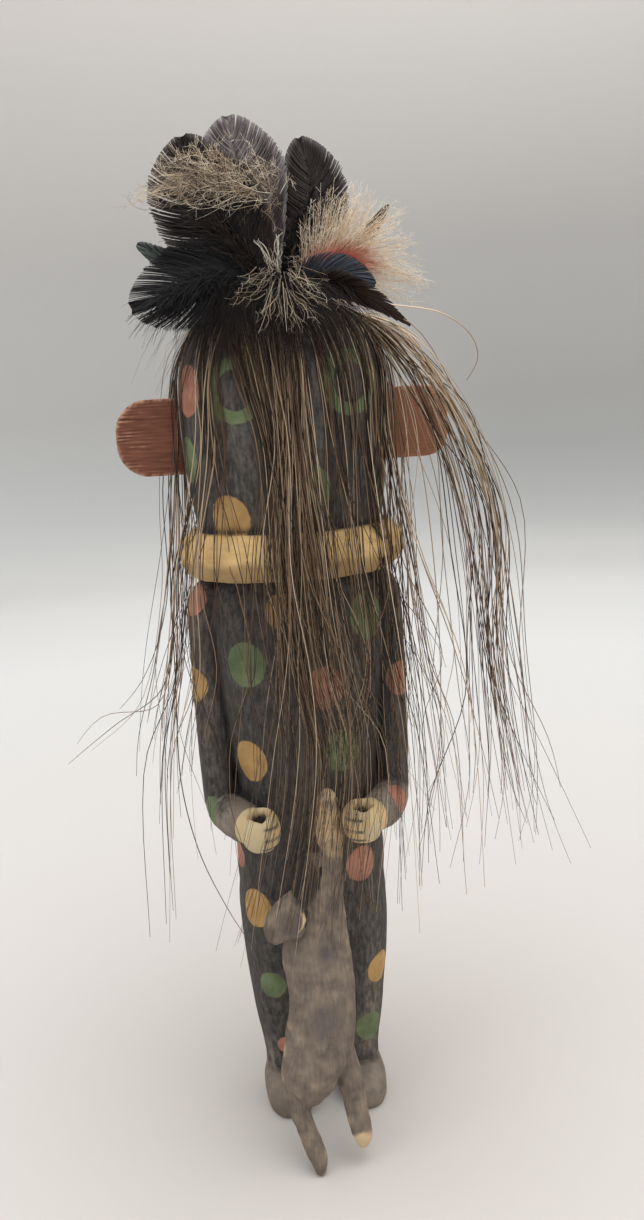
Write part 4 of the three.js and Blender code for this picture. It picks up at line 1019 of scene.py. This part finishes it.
# Rows "on" give the angles that the lock covers at each height on the head, counted from the front to +X.
# Rows "off" give [z, x from, x to, y from, y to] where the hair falls freely.
shoulderZ, handZ, hipZ = level["shoulder"], level["hand"], level["hip"]
hairLocks = {
    "hair_far_left": dict(
        count=20, clumps=6,
        on=[[-100, -66], [-98, -66], [-96, -70], [-94, -72]],
        loners=[[[-20, -14, tall - 3], [-31, -12, tall - 36], [-36, -12, shoulderZ - 20],
            [-38, -16, handZ + 6], [-33, -20, hipZ + 14], [-13, -21, level["ankle"] + 34]]],
        off=[[shoulderZ + 8, -34, -29, -16, 4], [shoulderZ - 20, -40, -30, -16, 0],
            [handZ + 22, -45, -30, -16, -2], [hipZ + 8, -48, -30, -18, -4]]),
    "hair_left": dict(
        count=24, clumps=5, light=0.4,
        on=[[-66, -34], [-58, -36], [-52, -38], [-52, -38]],
        off=[[shoulderZ + 6, -32, -20, -28, -22], [shoulderZ - 20, -34, -20, -29, -22],
            [handZ + 24, -38, -21, -31, -22], [hipZ + 2, -40, -24, -33, -22]]),
    "hair_front_left": dict(
        count=104, clumps=9, thick=0.78,
        on=[[-48, -8], [-40, -9], [-29, -6], [-19, -3]],
        off=[[shoulderZ + 6, -10, 0, -36, -32], [shoulderZ - 20, -9, 1, -38, -34],
            [handZ + 22, -8, 3, -41, -36], [hipZ + 1, -22, -7, -46, -38]]),
    "hair_front": dict(
        count=150, clumps=9, light=0.3, thick=0.8,
        on=[[-16, 12], [-14, 10], [-9, 9], [-6, 9]],
        off=[[shoulderZ + 6, -5, 7, -37, -32], [shoulderZ - 20, -4, 9, -39, -35],
            [handZ + 26, -3, 11, -43, -36], [hipZ + 4, -12, 3, -50, -40]]),
    "hair_front_right": dict(
        count=40, clumps=6, thick=0.85,
        on=[[10, 48], [12, 48], [16, 46], [18, 46]],
        off=[[shoulderZ + 6, 8, 24, -36, -28], [shoulderZ - 20, 8, 24, -38, -32],
            [handZ + 22, 8, 24, -40, -34], [hipZ + 1, 4, 27, -44, -36]]),
    "hair_right": dict(
        count=42, clumps=8, thick=1.1,
        on=[[38, 78], [42, 78], [42, 76], [44, 74]],
        off=[[shoulderZ + 6, 21, 32, -28, -14], [shoulderZ - 20, 23, 36, -28, -14],
            [handZ + 24, 24, 40, -30, -16], [hipZ + 2, 20, 45, -32, -18]]),
    "hair_back_right": dict(
        count=70, clumps=10,
        on=[[112, 178], [112, 178], [116, 178], [122, 178]],
        off=[[shoulderZ + 6, 24, 2, 24, 33], [shoulderZ - 20, 25, 1, 24, 32], [handZ + 24, 27, 1, 22, 32],
            [hipZ + 6, 31, 3, 20, 32]]),
    "hair_back_left": dict(
        count=70, clumps=10,
        on=[[-112, -178], [-112, -178], [-116, -178], [-122, -178]],
        off=[[shoulderZ + 6, -24, -2, 24, 33], [shoulderZ - 20, -25, -1, 24, 32],
            [handZ + 24, -27, 0, 22, 32], [hipZ + 6, -31, -5, 20, 32]]),
    "hair_swept_right": dict(
        count=48, clumps=7, light=0.6, fade=0.45, thick=1.15, lonerTone=0.98,
        on=[[52, 92], [56, 88]],
        loners=[[[14, -5, tall - 1], [28, -8, tall - 3], [47, -10, tall - 9], [51, -10, tall - 20],
            [46, -10, tall - 31]],
            [[16, -4, tall - 1], [32, -8, tall - 9], [49, -12, tall - 40], [60, -14, handZ + 50],
                [66, -12, hipZ + 2]]],
        off=[[tall - 14, 29, 35, -18, -6], [tall - 34, 41, 49, -20, -8], [shoulderZ + 14, 50, 60, -20, -8],
            [handZ + 44, 52, 60, -20, -6], [handZ + 8, 53, 66, -20, -4], [hipZ + 4, 50, 73, -20, -4]]),
    "hair_swept_middle": dict(
        count=24, light=0.65, thick=1.1, fade=0.4, clumps=8,
        on=[[66, 104], [70, 104]],
        off=[[tall - 16, 28, 33, -14, 0], [tall - 36, 33, 43, -18, -2], [shoulderZ + 8, 36, 51, -18, -2],
            [handZ + 34, 36, 55, -18, -2], [handZ + 6, 37, 57, -18, -2], [hipZ, 33, 60, -18, -2]]),
    "hair_stray_left": dict(
        count=4, clumps=4,
        on=[[-110, -98], [-110, -98]],
        off=[[tall - 16, -31, -29, 6, 10], [tall - 50, -37, -34, 6, 10], [shoulderZ - 6, -38, -36, 4, 8],
            [handZ + 34, -46, -42, -2, 2], [handZ + 25, -60, -56, -6, -2], [handZ + 16, -74, -70, -8, -6]]),
}


def makeHair(name, plan, material, seed):
    draw = np.random.default_rng(seed)
    count, clumps, loners = plan["count"], plan["clumps"], plan.get("loners", [])
    u, v = draw.uniform(0, 1, (2, count))
    clump = np.minimum((u * clumps).astype(int), clumps - 1)
    middle = (clump + 0.5) / clumps
    lift = 0.5 + 1.6 * draw.uniform(0, 1, count) ** 1.5
    knots = []
    for row, (up, (low, high)) in enumerate(zip(hair["heights"][len(plan["on"])], plan["on"])):
        held = middle + (u - middle) * (1 - 0.13 * row)
        angle = low + (high - low) * np.clip(held + draw.normal(0, 0.05, count) * (row > 0), -0.1, 1.1)
        knots.append(skull(angle, level["ruffTop"] + up * headTall, lift * (0.6 + 0.2 * row)))
    restless = draw.uniform(0, 1, count) < 0.4
    own, together, depth = np.zeros(count), np.zeros(clumps), np.zeros(count)
    for row, (z, xa, xb, ya, yb) in enumerate(plan["off"]):
        together = together + draw.normal(0, 0.1, clumps)
        own = own + draw.normal(0, 0.07, count) + restless * draw.normal(0, 0.36, count)
        depth = depth + draw.normal(0, 0.12, count)
        across = middle + (u - middle) * (0.75 - 0.12 * row) * 1.3 + together[clump] + own
        across = np.clip(across, -0.45, 1.5)
        knots.append(np.stack([xa + (xb - xa) * across, ya + (yb - ya) * (v + depth),
            z + draw.normal(0, 2.0, count)], 1))
    knots = np.stack(knots, 1)
    for row, loner in enumerate(loners):
        knots[row] = curveThrough(loner, np.linspace(0, 1, knots.shape[1]))
    last = 1 - 0.14 * draw.uniform(0, 1, count) ** 1.5 - 0.14 * (draw.uniform(0, 1, count) < 0.25)
    paths = np.stack([curveThrough(row, np.linspace(0, end, hair["steps"]))
        for row, end in zip(knots, last)])
    share = np.linspace(0, 1, hair["steps"])
    free = np.clip(share * 1.6 - 0.4, 0, 1)
    for long, size in ((draw.uniform(2, 5.5, (count, 2, 1)), 2.9),
            (draw.uniform(7, 14, (count, 2, 1)), 0.4)):
        waves = size * free * np.sin(draw.uniform(0, 6.28, (count, 2, 1)) + share * long)
        paths[..., 0] += waves[:, 0]
        paths[..., 1] += 0.7 * waves[:, 1]
    paths[..., 0] = np.clip(paths[..., 0], *hair["within"])
    keepOutside(paths[:, 2:], np.full(count, 0.4))
    clumpTone = draw.normal(0, 0.13, clumps)[clump]
    light = draw.uniform(0, 1, count) + clumpTone < plan.get("light", 0.22)
    tone = np.where(light, draw.normal(0.86, 0.1, count), draw.normal(0.42, 0.15, count) + clumpTone)
    tone = np.clip(tone, 0, 1)
    tone[:len(loners)] = plan.get("lonerTone", 0.5)
    widths = hair["halfWidth"] * plan.get("thick", 1) * draw.uniform(0.7, 1.35,
        (count, 1)) * (1 - 0.6 * share ** 4)
    made = makeStrands(name.replace("hair", "horsehair"), paths, widths, alongX + 0.3 * alongY,
        tone=np.clip(tone[:, None] + plan.get("fade", 0.14) * (0.5 - share), 0, 1))
    return finishPiece(made, material, "horsehair", name)


hairMaterial = horseTailHair()
for number, (name, plan) in enumerate(hairLocks.items()):
    makeHair(name, plan, hairMaterial, 300 + number)
print("horsehair hung")


# Stage: matt studio paper hung in one sweep, as it comes off the roll. It has no shine. Its colour is
# painted with light
# and shade: pale on the floor, darkest in a band where it bends up into the wall, paler again up the wall,
# with a deeper band on the right, and darker on the floor round the doll as painted shade
stagePlan = {"floor": 1.0, "bend": 0.45, "wall": 2.6, "sides": 96, "paintedShadeUnderDoll": "#cec8c2",
    "room": "#eef2f8",
    "leftPaintedShading": [(0.0, "#e6e6e4"), (0.1, "#e6e6e4"), (0.235, "#dddddb"), (0.3, "#d3d4d2"),
        (0.36, "#cacbc9"), (0.44, "#c1c2c0"), (0.52, "#bcbbb8"), (0.7, "#c3c1be"),
        (0.85, "#d3d0cb"), (0.97, "#e4dfda")],
    "rightPaintedShading": [(0.0, "#e6e6e4"), (0.1, "#e6e6e4"), (0.235, "#d8d8d6"), (0.3, "#c3c4c2"),
        (0.36, "#b7b8b6"), (0.44, "#abacaa"), (0.52, "#abaaa7"), (0.7, "#bbb9b6"),
        (0.85, "#d9d6d1"), (0.97, "#f0ebe5")],
    "lamps": [("ceilingPanel", (0.1, -0.15, 1.35), 1.1, 13.0, "#fdfdfd"),
        ("windowLeft", (-0.9, -0.6, 0.8), 0.8, 2.6, "#f0f5ff"),
        ("frontFill", (0.5, -1.0, 0.6), 0.8, 2.0, "#f8f9ff")]}  # name, place in m, size, watts, colour


def makeStage():
    floor, bend, sides = stagePlan["floor"], stagePlan["bend"], stagePlan["sides"]
    arc = math.pi / 2 * np.arange(1, 13) / 12
    profile = [[0.02, 0]] + [[floor * share, 0] for share in (0.15, 0.4, 0.7, 1.0)]
    profile += [[floor + bend * math.sin(turn), bend * (1 - math.cos(turn))] for turn in arc]
    profile.append([floor + bend, stagePlan["wall"]])
    turn = 2 * math.pi * np.arange(sides) / sides
    ring = np.array([np.stack([r * np.cos(turn), r * np.sin(turn), np.full(sides, z)], 1) for r,
        z in profile]) / mm
    points, quads, tris = closedTube(ring)
    sweep = makeObject("paleSweep", points[:-1], quads[:, ::-1], tris[:sides, ::-1])
    material, tree = startMaterial("matteStudioPaper")
    spot = addNode(tree, "TexCoord", {}, take="Object")
    aside, up = [addNode(tree, "SeparateXYZ", {0: spot}, take=way) for way in ("X", "Z")]
    flat = addNode(tree, "VectorMath", {0: spot, 1: (1, 1, 0)}, operation="MULTIPLY")
    away = addNode(tree, "VectorMath", {0: flat}, take="Value", operation="LENGTH")
    path = addNode(tree, "Math", {0: away, 1: up}, operation="ADD")
    along = addNode(tree, "MapRange", {"Value": path, "From Min": 0.7, "From Max": 2.4})
    # painted light and shade along the sweep, with one ramp for the left and one for the right
    left, right = [addNode(tree, "ValToRGB", {"Fac": along}, stops=stagePlan[way])
        for way in ("leftPaintedShading", "rightPaintedShading")]
    toRight = addNode(tree, "MapRange", {"Value": aside, "From Min": -0.35, "From Max": 0.45})
    colour = addNode(tree, "Mix", {0: toRight, 6: left, 7: right}, **colourMix)
    # painted shade on the floor round the doll
    fromDoll = addNode(tree, "MapRange", {"Value": away, "From Min": 0.0, "From Max": 0.6})
    colour = addNode(tree, "Mix", {0: fromDoll, 6: stagePlan["paintedShadeUnderDoll"], 7: colour}, **colourMix)
    sweep.data.materials.append(closeMaterial(material,
        {"Base Color": colour, "Roughness": 0.95, "Specular IOR Level": 0.1}))


def makeLights():
    world = bpy.data.worlds.new("softRoom")
    bpy.context.scene.world = world
    world.use_nodes = True
    world.node_tree.nodes["Background"].inputs["Color"].default_value = linear(stagePlan["room"])
    world.node_tree.nodes["Background"].inputs["Strength"].default_value = 1.0
    for name, spot, size, power, colour in stagePlan["lamps"]:
        lamp = bpy.data.lights.new(name, "AREA")
        lamp.size, lamp.energy, lamp.color = size, power, linear(colour)[:3]
        stand = bpy.data.objects.new(name, lamp)
        stand.location = spot
        stand.rotation_euler = (Vector((0, 0, 0.12)) - Vector(spot)).to_track_quat("-Z", "Y").to_euler()
        bpy.context.scene.collection.objects.link(stand)


makeStage()
makeLights()
bpy.context.scene.view_settings.view_transform = "Standard"
print("stage and lights set")
